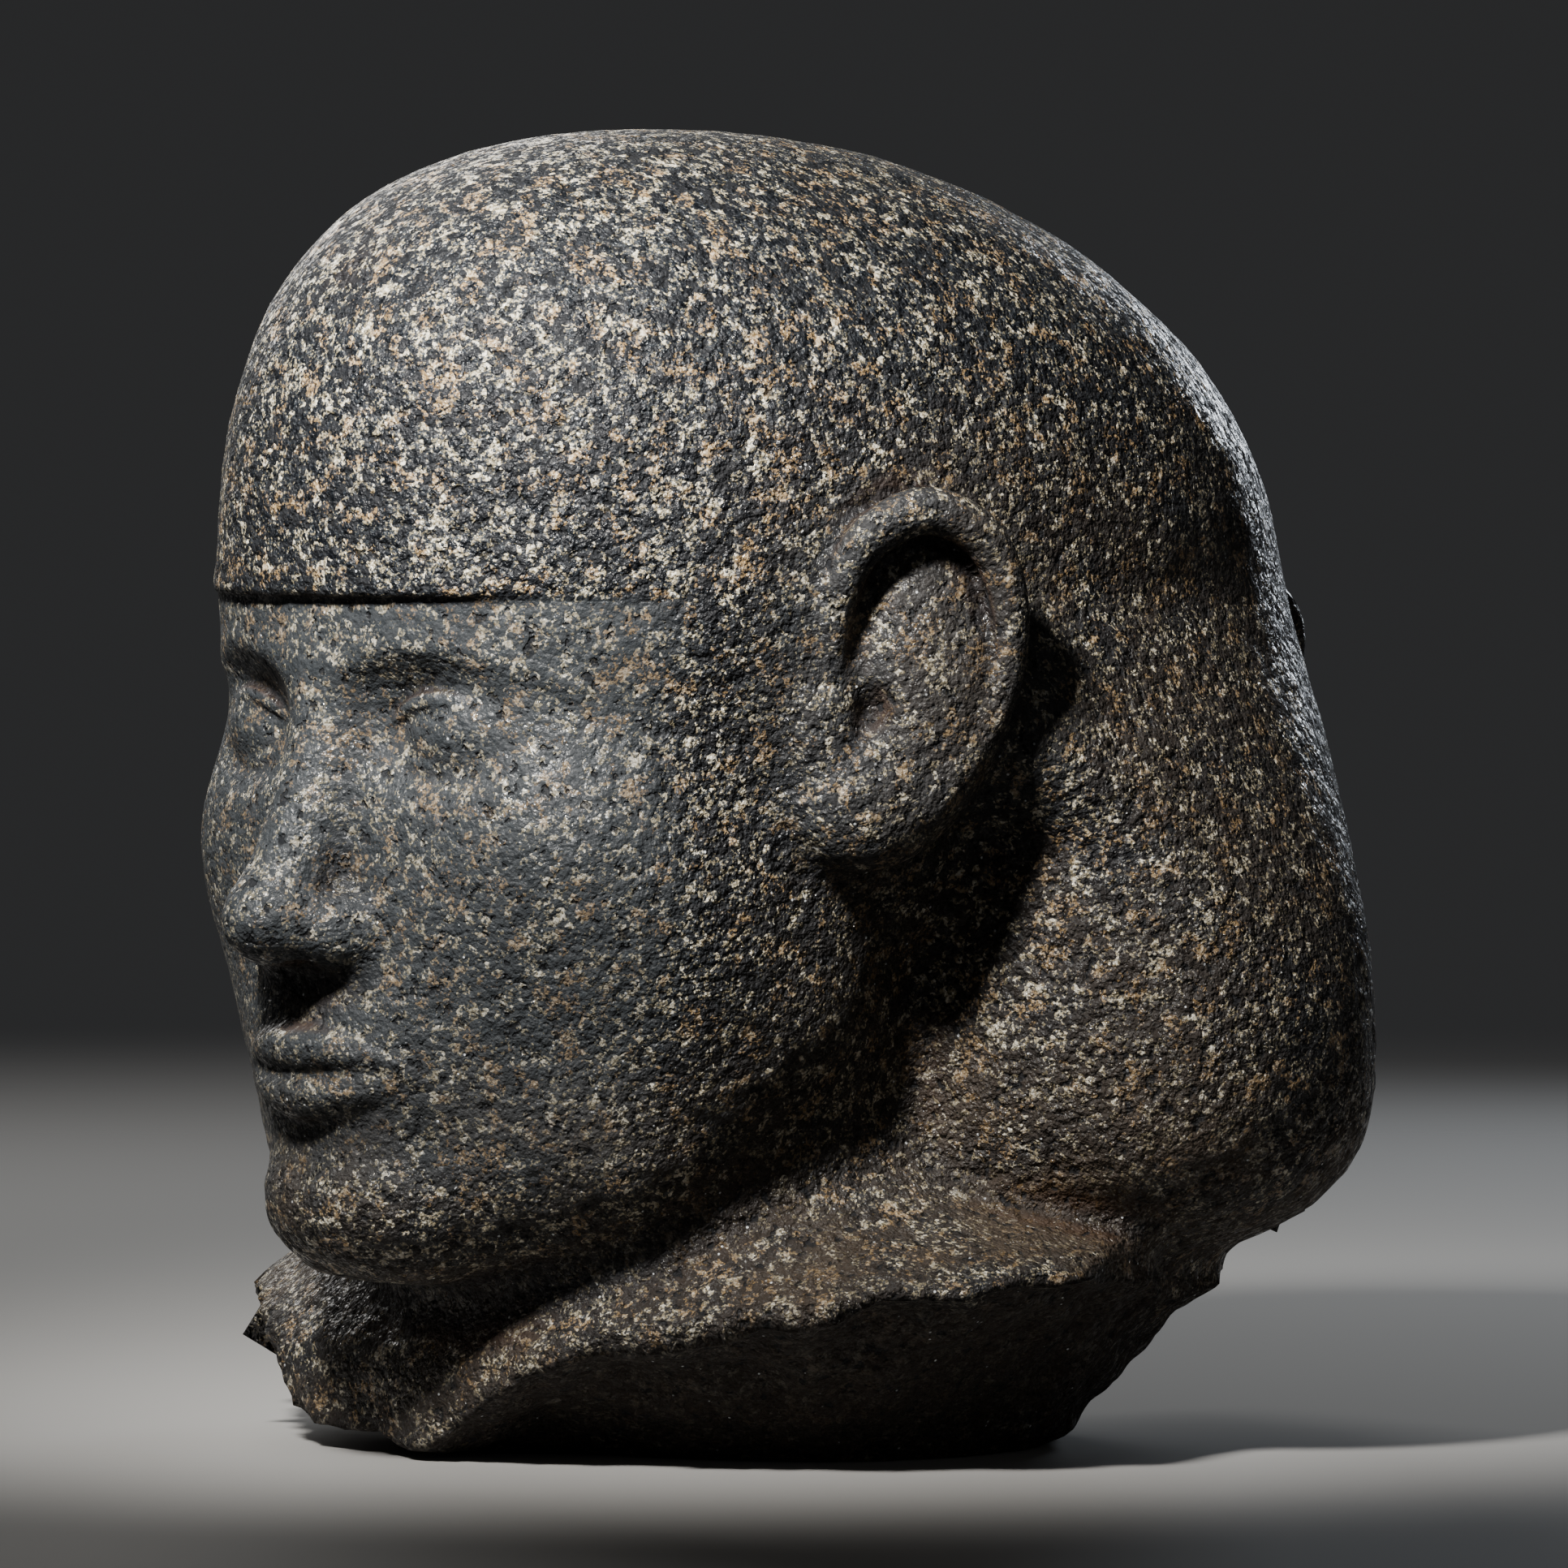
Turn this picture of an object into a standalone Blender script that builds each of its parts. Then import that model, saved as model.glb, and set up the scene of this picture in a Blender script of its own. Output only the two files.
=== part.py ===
"""Granite head of a standing figure, broken off at the neck: a plain bag wig, bare ears and a back pillar.

The head faces -Y, its own left side is +X, and it stands on a levelled seat at z = 0. It is worked like
clay: lumps are joined into one skin, the skin is drawn onto the carved form, the faces are thinned to those
that the form needs, and the broken underside is cut level.
"""

import math

import bmesh
import bpy
import numpy as np
from mathutils import Euler, Matrix, Vector

# Driving sizes, in metres
HEAD_HEIGHT = 0.280
PILLAR_WIDTH = 0.064
PILLAR_BACK = 0.1235
PILLAR_TOP = 0.187

# The carver's grid: the head's height is laid out in 280 squares, and every place on the head is in squares
GRID_SQUARES = 280.0
SQUARE = HEAD_HEIGHT / GRID_SQUARES

# The canon of the face, in squares. The skull under the wig is three and a half units high, the brow stands
# two units above the chin, the nose ends one unit above it, and the mouth lies a third of a unit below that.
CHIN_Z = 40.0
SKULL_TOP_Z = 268.0
FACE_UNIT = (SKULL_TOP_Z - CHIN_Z) / 3.5
BROW_Z = CHIN_Z + 2.0 * FACE_UNIT
NOSE_BASE_Z = CHIN_Z + FACE_UNIT
MOUTH_Z = NOSE_BASE_Z - FACE_UNIT / 3.0
EYE_Z = CHIN_Z + 1.75 * FACE_UNIT
EYE_WIDTH = 30.0
EYE_X = 31.0

# The wig, in squares: a dome above the ears that runs into a bag behind them
DOME_Z = 181.0
DOME_RISE = 99.0
WIG_EDGE_Z = 182.0
WIG_THICKNESS = 2.4
DOME_HALF_WIDTH = 84.0
BAG_HALF_WIDTH = 128.0
DOME_FRONT_Y = -134.0
DOME_BACK_Y = 113.0
BAG_FRONT_Y = -28.0
BAG_BACK_Y = 99.5
BAG_MIDDLE_Y = 28.0
BAG_ROUND_Z = 85.0
BAG_ROUND_DEPTH = 52.0
EAR_BAY_Y = -37.0
TEMPLE_HALF_WIDTH = 91.5

# The left ear, in squares: its middle, its lean back and out in degrees, and how far it flares from the head
EAR_MIDDLE = (94.0, -43.0, 164.0)
EAR_LEAN_BACK = 8.5
EAR_LEAN_OUT = 6.0
EAR_FLARE = 28.0

# How fine the clay skin is, in squares, how many faces the finished solid keeps, and how strongly the face
# and ears hold on to theirs
SKIN_STEP = 1.6
FACES_KEPT = 9600
FINE_SHARE = 0.01

GRANITE = (0.115, 0.108, 0.100, 1.0)


def length(vectors):
    """The length of each row."""
    return np.sqrt((vectors * vectors).sum(axis=1))


def blend(first, second, soft):
    """Two shapes joined, with a fillet about as wide as soft."""
    share = np.clip(0.5 + 0.5 * (second - first) / soft, 0.0, 1.0)
    return second * (1.0 - share) + first * share - soft * share * (1.0 - share)


def carve(shape, cutter, soft):
    """The shape with the cutter's space taken out of it."""
    return -blend(-shape, cutter, soft)


def ramp(low, high, value):
    """0 at low and 1 at high, with a smooth rise between them."""
    share = np.clip((value - low) / (high - low), 0.0, 1.0)
    return share * share * (3.0 - 2.0 * share)


def ellipsoid(points, centre, radii, turn=(0.0, 0.0, 0.0)):
    """Distance to an ellipsoid, turned by degrees about its own X, Y and Z."""
    local = points - np.array(centre)
    if any(turn):
        local = local @ np.array(Euler([math.radians(angle) for angle in turn]).to_matrix())
    radii = np.array(radii)
    inner = length(local / radii)
    outer = length(local / radii**2)
    return inner * (inner - 1.0) / np.maximum(outer, 1e-6)


def squared_ball(points, centre, radii, power):
    """Distance along the radius to an ellipsoid with fuller corners."""
    local = points - np.array(centre)
    ratio = (np.abs(local / np.array(radii)) ** power).sum(axis=1) ** (1.0 / power)
    return length(local) * (1.0 - 1.0 / np.maximum(ratio, 1e-6))


def tube(points, route, radii):
    """Distance to a tube through the route's points, with a radius at each point."""
    nearest = np.full(len(points), 1e9)
    route = np.array(route)
    for start, end, thick, thin in zip(route, route[1:], radii, radii[1:]):
        along = end - start
        share = np.clip(((points - start) @ along) / (along @ along), 0.0, 1.0)
        reach = length(points - start - share[:, None] * along) - (thick + (thin - thick) * share)
        nearest = np.minimum(nearest, reach)
    return nearest


def lattice_noise(points, size, seed):
    """Smooth noise between -1 and 1 on a lattice of that size, the same on every run."""
    scaled = points / size
    corner = np.floor(scaled).astype(np.int64)
    share = scaled - corner
    share = share * share * (3.0 - 2.0 * share)
    total = np.zeros(len(points))
    for step in np.ndindex(2, 2, 2):
        cell = corner + np.array(step)
        key = (cell[:, 0] * 73856093) ^ (cell[:, 1] * 19349663) ^ (cell[:, 2] * 83492791) ^ (seed * 2654435)
        key = (key ^ (key >> 13)) * 1274126177 & 0x7FFFFFFF
        value = ((key ^ (key >> 15)) & 0xFFFF) / 32767.5 - 1.0
        weight = np.prod(np.where(np.array(step) == 1, share, 1.0 - share), axis=1)
        total += value * weight
    return total


def folded_left(points):
    """The points folded onto the head's left half, because the carving is the same on both sides."""
    folded = points.copy()
    folded[:, 0] = np.abs(folded[:, 0])
    return folded


def crown_shift(rise):
    """How far the wig's middle has moved forward at that share of the dome's height."""
    return -27.0 * rise**1.8


def wig(points):
    """The wig as one swelling form: the dome, and under it the bag behind the ears."""
    x, y, z = points.T
    rise = np.clip((z - DOME_Z) / DOME_RISE, 0.0, 1.3)
    fall = np.clip((BAG_ROUND_Z - z) / BAG_ROUND_DEPTH, 0.0, 1.6)
    dome_middle = (DOME_FRONT_Y + DOME_BACK_Y) / 2.0
    half_width = DOME_HALF_WIDTH + (BAG_HALF_WIDTH - DOME_HALF_WIDTH) * ramp(215.0, BAG_ROUND_Z, z)
    middle = dome_middle + (BAG_MIDDLE_Y - dome_middle) * ramp(198.0, 98.0, z)
    front = DOME_FRONT_Y + (BAG_FRONT_Y - DOME_FRONT_Y) * ramp(182.0, 128.0, z)
    back = DOME_BACK_Y + (BAG_BACK_Y - DOME_BACK_Y) * ramp(165.0, BAG_ROUND_Z, z)
    along = y - middle - crown_shift(rise)
    up = np.maximum(z - DOME_Z, 0.0) + np.minimum(z - BAG_ROUND_Z, 0.0)
    half_depth = np.where(along > 0.0, back - middle, middle - front)
    ratio = np.abs(x / half_width) ** 2.25 + np.abs(along / half_depth) ** 2.25 + rise**2.25 + fall**3.0
    ratio = ratio ** (1.0 / 2.25)
    return np.sqrt(x * x + along * along + up * up) * (1.0 - 1.0 / np.maximum(ratio, 1e-6))


def bare_dome(points):
    """The forehead and temples, just under the wig's surface."""
    x, y, z = points.T
    rise = np.clip((z - DOME_Z) / DOME_RISE, 0.0, 1.3)
    along = y - (DOME_FRONT_Y + DOME_BACK_Y) / 2.0 - crown_shift(rise)
    depth = (DOME_BACK_Y - DOME_FRONT_Y) / 2.0 - WIG_THICKNESS
    sideways = (x / TEMPLE_HALF_WIDTH) ** 2
    sideways = sideways / np.maximum(sideways + (along / depth) ** 2, 1e-6)
    up = z - DOME_Z
    drop = np.where(up > 0.0, DOME_RISE - WIG_THICKNESS, 48.0 + 24.0 * sideways)
    ratio = np.abs(x / TEMPLE_HALF_WIDTH) ** 2.25 + np.abs(along / depth) ** 2.25 + np.abs(up / drop) ** 2.25
    ratio = ratio ** (1.0 / 2.25)
    return np.sqrt(x * x + along * along + up * up) * (1.0 - 1.0 / np.maximum(ratio, 1e-6))


def skull(points):
    """Cheeks, jaw and chin, without the features."""
    folded = folded_left(points)
    face = squared_ball(points, (0.0, -62.0, 120.0), (71.0, 68.0, 84.0), 2.3)
    side = squared_ball(points, (0.0, -30.0, 142.0), (81.0, 62.0, 56.0), 2.3)
    cheek = ellipsoid(folded, (42.0, -92.0, 130.0), (26.0, 25.0, 25.0))
    fullness = ellipsoid(folded, (49.0, -72.0, 110.0), (25.0, 31.0, 32.0))
    chin = ellipsoid(points, (0.0, -112.0, CHIN_Z + 15.0), (25.0, 22.0, 15.0))
    jaw = tube(folded, ((10.0, -109.0, 57.0), (41.0, -82.0, 70.0), (56.0, -52.0, 94.0)), (15.5, 18.0, 15.0))
    shape = blend(bare_dome(points), face, 16.0)
    shape = blend(shape, side, 20.0)
    shape = blend(shape, cheek, 18.0)
    shape = blend(shape, fullness, 14.0)
    shape = blend(shape, jaw, 18.0)
    return blend(shape, chin, 12.0)


def reach_from(points, front_y, middle_y, back_y, half_width):
    """How far out a point lies in plan: 0 at the middle and 1 on a rounded outline."""
    x, along = points[:, 0], points[:, 1] - middle_y
    depth = np.where(along > 0.0, back_y - middle_y, middle_y - front_y)
    return ((np.abs(x) / half_width) ** 2.3 + (np.abs(along) / depth) ** 2.3) ** (1.0 / 2.3)


def neck(points):
    """The neck and the broken stumps of the shoulders under it."""
    column = squared_ball(points, (0.0, -21.0, 60.0), (65.0, 57.0, 120.0), 2.6)
    shoulders = squared_ball(points, (0.0, 8.0, -4.0), (158.0, 116.0, 66.0), 2.2)
    rough = 2.4 * lattice_noise(points, 22.0, 3) + 1.6 * lattice_noise(points, 10.0, 5)
    stump = reach_from(points, STUMP_FRONT_Y, STUMP_MIDDLE_Y, STUMP_BACK_Y, STUMP_HALF_WIDTH)
    stumps = carve(blend(column, shoulders, 30.0), 90.0 * (1.0 - stump) + rough, 4.0)
    nape = squared_ball(points, (0.0, 20.0, 32.0), (90.0, 54.0, 42.0), 2.6)
    return blend(stumps, nape, 4.0)


def eyes(shape, points):
    """Almond eyes under calm lids, one eye's width apart."""
    socket = ellipsoid(points, (EYE_X, -133.0, EYE_Z + 1.0), (22.0, 14.0, 13.0), (0.0, 0.0, 14.0))
    shape = carve(shape, socket, 7.0)
    ball = ellipsoid(points, (EYE_X, -108.0, EYE_Z), (18.5, 15.5, 14.0), (0.0, 0.0, 14.0))
    shape = blend(shape, ball, 2.5)
    share = np.linspace(0.0, 1.0, 9)
    across = EYE_X + (share - 0.5) * (EYE_WIDTH + 3.0)
    depth = -120.5 + 9.0 * share**2
    arch = np.sin(math.pi * share)
    upper = np.stack([across, depth - 3.2 * arch, EYE_Z - 1.0 + 7.8 * arch**0.8], axis=1)
    lower = np.stack([across, depth - 2.4 * arch, EYE_Z - 1.0 - 6.4 * arch**0.9], axis=1)
    shape = blend(shape, tube(points, upper, 1.2 + 1.0 * arch), 1.2)
    return blend(shape, tube(points, lower, 1.1 + 0.6 * arch), 1.2)


def brows(shape, points):
    """Soft brow ridges that run down into the nose."""
    share = np.linspace(0.0, 1.0, 7)
    across = 9.0 + 49.0 * share
    depth = -125.5 + 20.5 * share**2.2
    height = BROW_Z - 4.0 + 6.0 * np.sin(math.pi * (0.12 + 0.76 * share)) - 5.0 * share**3
    route = np.stack([across, depth, height], axis=1)
    return blend(shape, tube(points, route, 4.4 - 3.2 * share**1.5), 4.0)


def nose(shape, points):
    """A straight nose as wide as the space between the eyes."""
    route = ((0.0, -124.0, BROW_Z - 6.0), (0.0, -127.0, EYE_Z - 4.0), (0.0, -138.0, NOSE_BASE_Z + 14.0))
    bridge = tube(points, route, (7.5, 7.5, 9.5))
    tip = ellipsoid(points, (0.0, -139.0, NOSE_BASE_Z + 9.0), (10.5, 12.5, 9.0))
    wing = ellipsoid(points, (11.5, -131.0, NOSE_BASE_Z + 7.0), (7.0, 9.5, 7.5), (0.0, 0.0, -12.0))
    shape = blend(shape, bridge, 9.0)
    shape = blend(shape, wing, 5.5)
    shape = blend(shape, tip, 5.0)
    nostril = ellipsoid(points, (6.2, -137.0, NOSE_BASE_Z - 1.5), (3.2, 5.0, 3.2), (0.0, 0.0, -14.0))
    return carve(shape, nostril, 1.5)


def mouth(shape, points):
    """Full closed lips on a low muzzle."""
    muzzle = ellipsoid(points, (0.0, -108.0, MOUTH_Z + 3.0), (31.0, 25.5, 23.0))
    shape = blend(shape, muzzle, 12.0)
    share = np.linspace(0.0, 1.0, 7)
    across = 26.5 * share
    back = 9.5 * share**2
    upper_z = MOUTH_Z + 4.3 - 3.6 * share**1.6 + 0.9 * np.sin(math.pi * share)
    upper = np.stack([across, -133.0 + back, upper_z], axis=1)
    lower = np.stack([across, -131.5 + back, MOUTH_Z - 5.0 + 4.6 * share**1.8], axis=1)
    shape = blend(shape, tube(points, upper, 5.2 - 3.9 * share**1.5), 2.2)
    shape = blend(shape, tube(points, lower, 5.6 - 4.2 * share**1.5), 2.2)
    line = np.stack([across * 1.06, -138.5 + back, MOUTH_Z - 0.3 + 0.8 * share**2], axis=1)
    shape = carve(shape, tube(points, line, 1.9 - 0.9 * share), 1.4)
    philtrum = tube(points, ((0.0, -139.5, NOSE_BASE_Z - 3.0), (0.0, -141.0, MOUTH_Z + 11.0)), (2.2, 2.8))
    return carve(shape, philtrum, 2.5)


def ear_axes():
    """The left ear's own directions back, up and out."""
    lean_back, lean_out, flare = (math.radians(angle) for angle in (EAR_LEAN_BACK, EAR_LEAN_OUT, EAR_FLARE))
    up = Vector((math.sin(lean_out), math.sin(lean_back), math.cos(lean_back))).normalized()
    back = Vector((math.sin(flare), math.cos(flare), 0.0))
    back = (back - up * back.dot(up)).normalized()
    return np.array([back, up, back.cross(up)])


def ears(shape, points):
    """Large ears with a thick rim, a hollow under it, a raised inner leaf and a heavy lobe."""
    local = (points - np.array(EAR_MIDDLE)) @ ear_axes().T
    near = length(local) < 60.0
    local = local[near]
    ear = carve(shape[near], ellipsoid(local, (3.0, 0.0, 12.0), (27.0, 46.0, 12.0)), 8.0)
    block = ellipsoid(local, (-1.0, 2.0, -10.0), (19.0, 37.0, 12.5), (0.0, 0.0, 8.0))
    ear = blend(ear, block, 5.0)
    groove = ((-13.0, -9.0, 4.0), (-15.0, 4.0, 4.0), (-14.0, 17.0, 4.0), (-8.0, 27.0, 4.0), (2.0, 28.5, 4.5),
              (10.0, 20.0, 5.5))
    ear = carve(ear, tube(local, groove, (4.6, 4.8, 5.0, 4.8, 3.8, 2.6)), 2.0)
    leaf = ellipsoid(local, (1.5, -1.0, -5.5), (14.0, 25.0, 9.5), (0.0, 0.0, 10.0))
    ear = blend(ear, leaf, 3.0)
    back_leaf = ellipsoid(local, (6.0, -7.0, -5.5), (12.0, 24.0, 9.0), (0.0, 0.0, -6.0))
    ear = blend(ear, back_leaf, 4.0)
    bowl = ellipsoid(local, (-11.0, -9.0, 3.0), (4.5, 7.0, 6.0), (0.0, 0.0, -10.0))
    ear = carve(ear, bowl, 2.5)
    lobe = ellipsoid(local, (-7.0, -27.0, -3.0), (13.5, 13.0, 8.5), (0.0, 0.0, -20.0))
    ear = blend(ear, lobe, 8.0)
    rim = ((-20.0, 2.0, -1.0), (-21.5, 14.0, 0.0), (-18.5, 26.0, 1.0), (-9.0, 34.5, 1.5), (1.0, 34.5, 1.5),
           (10.0, 28.0, 1.0), (15.5, 15.0, 0.5), (16.0, 1.0, 0.0), (12.5, -12.0, -0.5), (5.0, -24.0, -1.0))
    ear = blend(ear, tube(local, rim, (2.5, 4.0, 4.8, 5.0, 4.8, 4.4, 4.0, 3.8, 4.0, 5.0)), 2.5)
    tragus = ellipsoid(local, (-19.5, -11.0, -3.0), (5.0, 9.0, 5.0))
    ear = blend(ear, tragus, 6.0)
    shape = shape.copy()
    shape[near] = ear
    return shape


def pillar(points):
    """The back pillar, with a sloped and worn top."""
    side = np.abs(points[:, 0]) - PILLAR_WIDTH / SQUARE / 2.0
    back = points[:, 1] - PILLAR_BACK / SQUARE
    above = points[:, 2] - PILLAR_TOP / SQUARE
    slope = 0.86 * above + 0.5 * (back + 12.0)
    shape = -blend(-side, -back, 5.0)
    shape = -blend(-shape, -slope, 10.0)
    return np.maximum(shape, 40.0 - points[:, 1])


# Height of the broken rim round the neck, in squares, by angle from the front, on the head's left and right
RIM_ANGLES = (0.0, 17.0, 40.0, 52.0, 59.0, 75.0, 95.0, 125.0, 150.0, 180.0)
RIM_LEFT = (2.0, 19.0, 30.0, 34.0, 40.0, 42.0, 42.0, 40.0, 39.0, 40.0)
RIM_RIGHT = (2.0, 6.0, 12.0, 16.0, 19.0, 23.0, 30.0, 37.0, 39.0, 40.0)

# The outline of the shoulder stumps in plan, and under them the dish that the break leaves round the seat.
# Its rim lies a margin outside the stumps, so that the break runs out through their walls.
STUMP_FRONT_Y = -102.0
STUMP_MIDDLE_Y = -42.0
STUMP_BACK_Y = 50.0
STUMP_HALF_WIDTH = 120.0
RIM_MARGIN = 4.0
DISH_MIDDLE_Y = -8.0
DISH_BACK_Y = 90.0
DISH_FLAT = 0.47
SEAT_DEPTH = 4.0


def underside(points):
    """The break: a rough face that rises from the seat to a ragged rim. Negative above it, in the stone."""
    x, y, z = points.T
    angle = np.degrees(np.arctan2(np.abs(x), -y))
    rim = np.where(x > 0.0, np.interp(angle, RIM_ANGLES, RIM_LEFT), np.interp(angle, RIM_ANGLES, RIM_RIGHT))
    rough = 2.6 * lattice_noise(points, 21.0, 13) + 1.5 * lattice_noise(points, 9.0, 17)
    front_y, half_width = STUMP_FRONT_Y - RIM_MARGIN / 4.0, STUMP_HALF_WIDTH + RIM_MARGIN
    reach = reach_from(points, front_y, DISH_MIDDLE_Y, DISH_BACK_Y, half_width)
    share = np.clip((reach - DISH_FLAT) / (0.98 - DISH_FLAT), 0.0, 1.0)
    share = 0.35 * share + 0.65 * ramp(0.0, 0.8, share)
    level = (rim + SEAT_DEPTH) * share - SEAT_DEPTH
    return level + rough * ramp(1.0, 6.0, level) - z


def features(shape, points):
    """The face's own features, worked only on the points near them."""
    folded = folded_left(points)
    near = (folded[:, 1] < -84.0) & (folded[:, 2] < 196.0) & (folded[:, 2] > 30.0)
    part, places = shape[near], folded[near]
    for carving in (brows, eyes, nose, mouth):
        part = carving(part, places)
    shape = shape.copy()
    shape[near] += (part - shape[near]) * ramp(WIG_EDGE_Z - 1.0, WIG_EDGE_Z - 8.0, places[:, 2])
    return shape


def head_form(points):
    """Distance from each point to the carved head: negative in the stone. All of it is in grid squares."""
    y, z = points[:, 1], points[:, 2]
    bare = blend(skull(points), neck(points), 14.0)
    bare = features(bare, points)
    side = ramp(40.0, 66.0, np.abs(points[:, 0]))
    bay = np.maximum(y - EAR_BAY_Y, z - (WIG_EDGE_Z - 2.0 * side))
    covered = carve(wig(points), bay, 1.4 + 11.0 * side)
    shape = blend(bare, covered, 0.8 + side + 8.0 * side * ramp(172.0, 148.0, z))
    shape = ears(shape, folded_left(points))
    shape = blend(shape, pillar(points), 2.5)
    return -blend(-shape, -underside(points), 1.2)


def lump(centre, radii):
    """One ball of clay, in squares."""
    bpy.ops.mesh.primitive_uv_sphere_add(segments=48, ring_count=24, radius=1.0)
    ball = bpy.context.object
    ball.data.transform(Matrix.Translation(centre) @ Matrix.Diagonal((*radii, 1.0)))
    return ball


def ear_lump(side):
    """A ball of clay around one ear, turned as the ear lies."""
    ball = lump((-2.0, -1.0, 0.0), (31.0, 50.0, 15.0))
    turn = Matrix(ear_axes().T).to_4x4()
    ball.data.transform(Matrix.Scale(side, 4, (1.0, 0.0, 0.0)) @ Matrix.Translation(EAR_MIDDLE) @ turn)
    if side < 0.0:
        ball.data.flip_normals()
    return ball


def clay_skin():
    """Lumps of clay pressed together into one closed skin, still without carving."""
    pillar_back, pillar_top = PILLAR_BACK / SQUARE, PILLAR_TOP / SQUARE
    pillar_side = PILLAR_WIDTH / SQUARE / 2.0
    lumps = [
        lump((0.0, -28.0, 185.0), (92.0, 116.0, 96.0)),
        lump((0.0, 22.0, 122.0), (104.0, 88.0, 92.0)),
        lump((0.0, -62.0, 118.0), (76.0, 74.0, 86.0)),
        lump((0.0, -110.0, 58.0), (30.0, 28.0, 20.0)),
        lump((0.0, -130.0, NOSE_BASE_Z + 14.0), (18.0, 26.0, 24.0)),
        lump((0.0, -21.0, 60.0), (66.0, 60.0, 100.0)),
        lump((0.0, 0.0, 34.0), (STUMP_HALF_WIDTH + 6.0, 92.0, 26.0)),
        lump((0.0, -50.0, 18.0), (64.0, 54.0, 32.0)),
        lump((0.0, pillar_back - 53.0, 100.0), (pillar_side + 14.0, 60.0, pillar_top - 81.0)),
    ]
    for side in (1.0, -1.0):
        lumps.append(ear_lump(side))
        lumps.append(lump((side * (BAG_HALF_WIDTH - 54.0), 30.0, 96.0), (58.0, 54.0, 66.0)))
        lumps.append(lump((side * 44.0, -72.0, 74.0), (28.0, 38.0, 26.0)))
    for ball in lumps:
        ball.select_set(True)
    bpy.context.view_layer.objects.active = lumps[0]
    bpy.ops.object.join()
    return bpy.context.object


def bake_modifiers(item):
    """Replaces the object's mesh by what its modifiers make of it."""
    depsgraph = bpy.context.evaluated_depsgraph_get()
    made = bpy.data.meshes.new_from_object(item.evaluated_get(depsgraph))
    item.modifiers.clear()
    item.data = made


def remesh(item, step):
    """Gives the object an even skin of that step."""
    voxels = item.modifiers.new("even_skin", "REMESH")
    voxels.mode = "VOXEL"
    voxels.voxel_size = step
    bake_modifiers(item)


def draw_onto_form(item, rounds):
    """Moves every point of the skin along the form's slope until it lies on the carved surface."""
    count = len(item.data.vertices)
    flat = np.empty(count * 3, np.float32)
    item.data.vertices.foreach_get("co", flat)
    points = flat.reshape(-1, 3).astype(float)
    reach = 0.15
    for _ in range(rounds):
        here = head_form(points)
        slope = np.empty_like(points)
        for axis in range(3):
            step = np.zeros(3)
            step[axis] = reach
            slope[:, axis] = (head_form(points + step) - here) / reach
        steep = np.maximum((slope * slope).sum(axis=1), 0.08)
        move = -(here / steep)[:, None] * slope
        limit = np.minimum(1.0, 4.0 / np.maximum(length(move), 1e-9))
        points += move * limit[:, None]
    item.data.vertices.foreach_set("co", points.astype(np.float32).ravel())
    item.data.update()


def level_seat(head):
    """Cuts everything below z = 0 away and closes the cut with a flat face."""
    mesh = bmesh.new()
    mesh.from_mesh(head.data)
    everything = mesh.verts[:] + mesh.edges[:] + mesh.faces[:]
    down = (0.0, 0.0, -1.0)
    cut = bmesh.ops.bisect_plane(mesh, geom=everything, plane_co=(0, 0, 0), plane_no=down, clear_outer=True)
    rim = [edge for edge in cut["geom_cut"] if isinstance(edge, bmesh.types.BMEdge)]
    bmesh.ops.holes_fill(mesh, edges=rim, sides=0)
    bmesh.ops.triangulate(mesh, faces=[face for face in mesh.faces if len(face.verts) > 3])
    bmesh.ops.recalc_face_normals(mesh, faces=mesh.faces[:])
    mesh.to_mesh(head.data)
    mesh.free()


def ease_broken_edge(head):
    """Evens the skin round the stumps, where their walls meet the break in a sharp edge."""
    corners = np.array([vertex.co for vertex in head.data.vertices])
    stump = reach_from(corners, STUMP_FRONT_Y, STUMP_MIDDLE_Y, STUMP_BACK_Y, STUMP_HALF_WIDTH)
    near = (stump > 0.85) & (np.abs(corners[:, 2] - 32.0) < 28.0)
    edge = head.vertex_groups.new(name="broken_edge")
    edge.add(np.flatnonzero(near).tolist(), 1.0, "REPLACE")
    ease = head.modifiers.new("eased_edge", "SMOOTH")
    ease.factor = 0.5
    ease.iterations = 8
    ease.vertex_group = edge.name
    bake_modifiers(head)


def mark_fine_carving(head):
    """A group that is 0.5 on the face and ears, where the faces stay small, and 1 on the plain stone."""
    corners = np.array([vertex.co for vertex in head.data.vertices])
    folded = folded_left(corners)
    face = (folded[:, 1] < -96.0) & (folded[:, 0] < 62.0) & (np.abs(folded[:, 2] - 122.0) < 66.0)
    ear = length(folded - np.array(EAR_MIDDLE)) < 46.0
    plain = head.vertex_groups.new(name="plain_stone")
    plain.add(np.flatnonzero(~(face | ear)).tolist(), 1.0, "REPLACE")
    plain.add(np.flatnonzero(face | ear).tolist(), 0.5, "REPLACE")
    return plain.name


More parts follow.
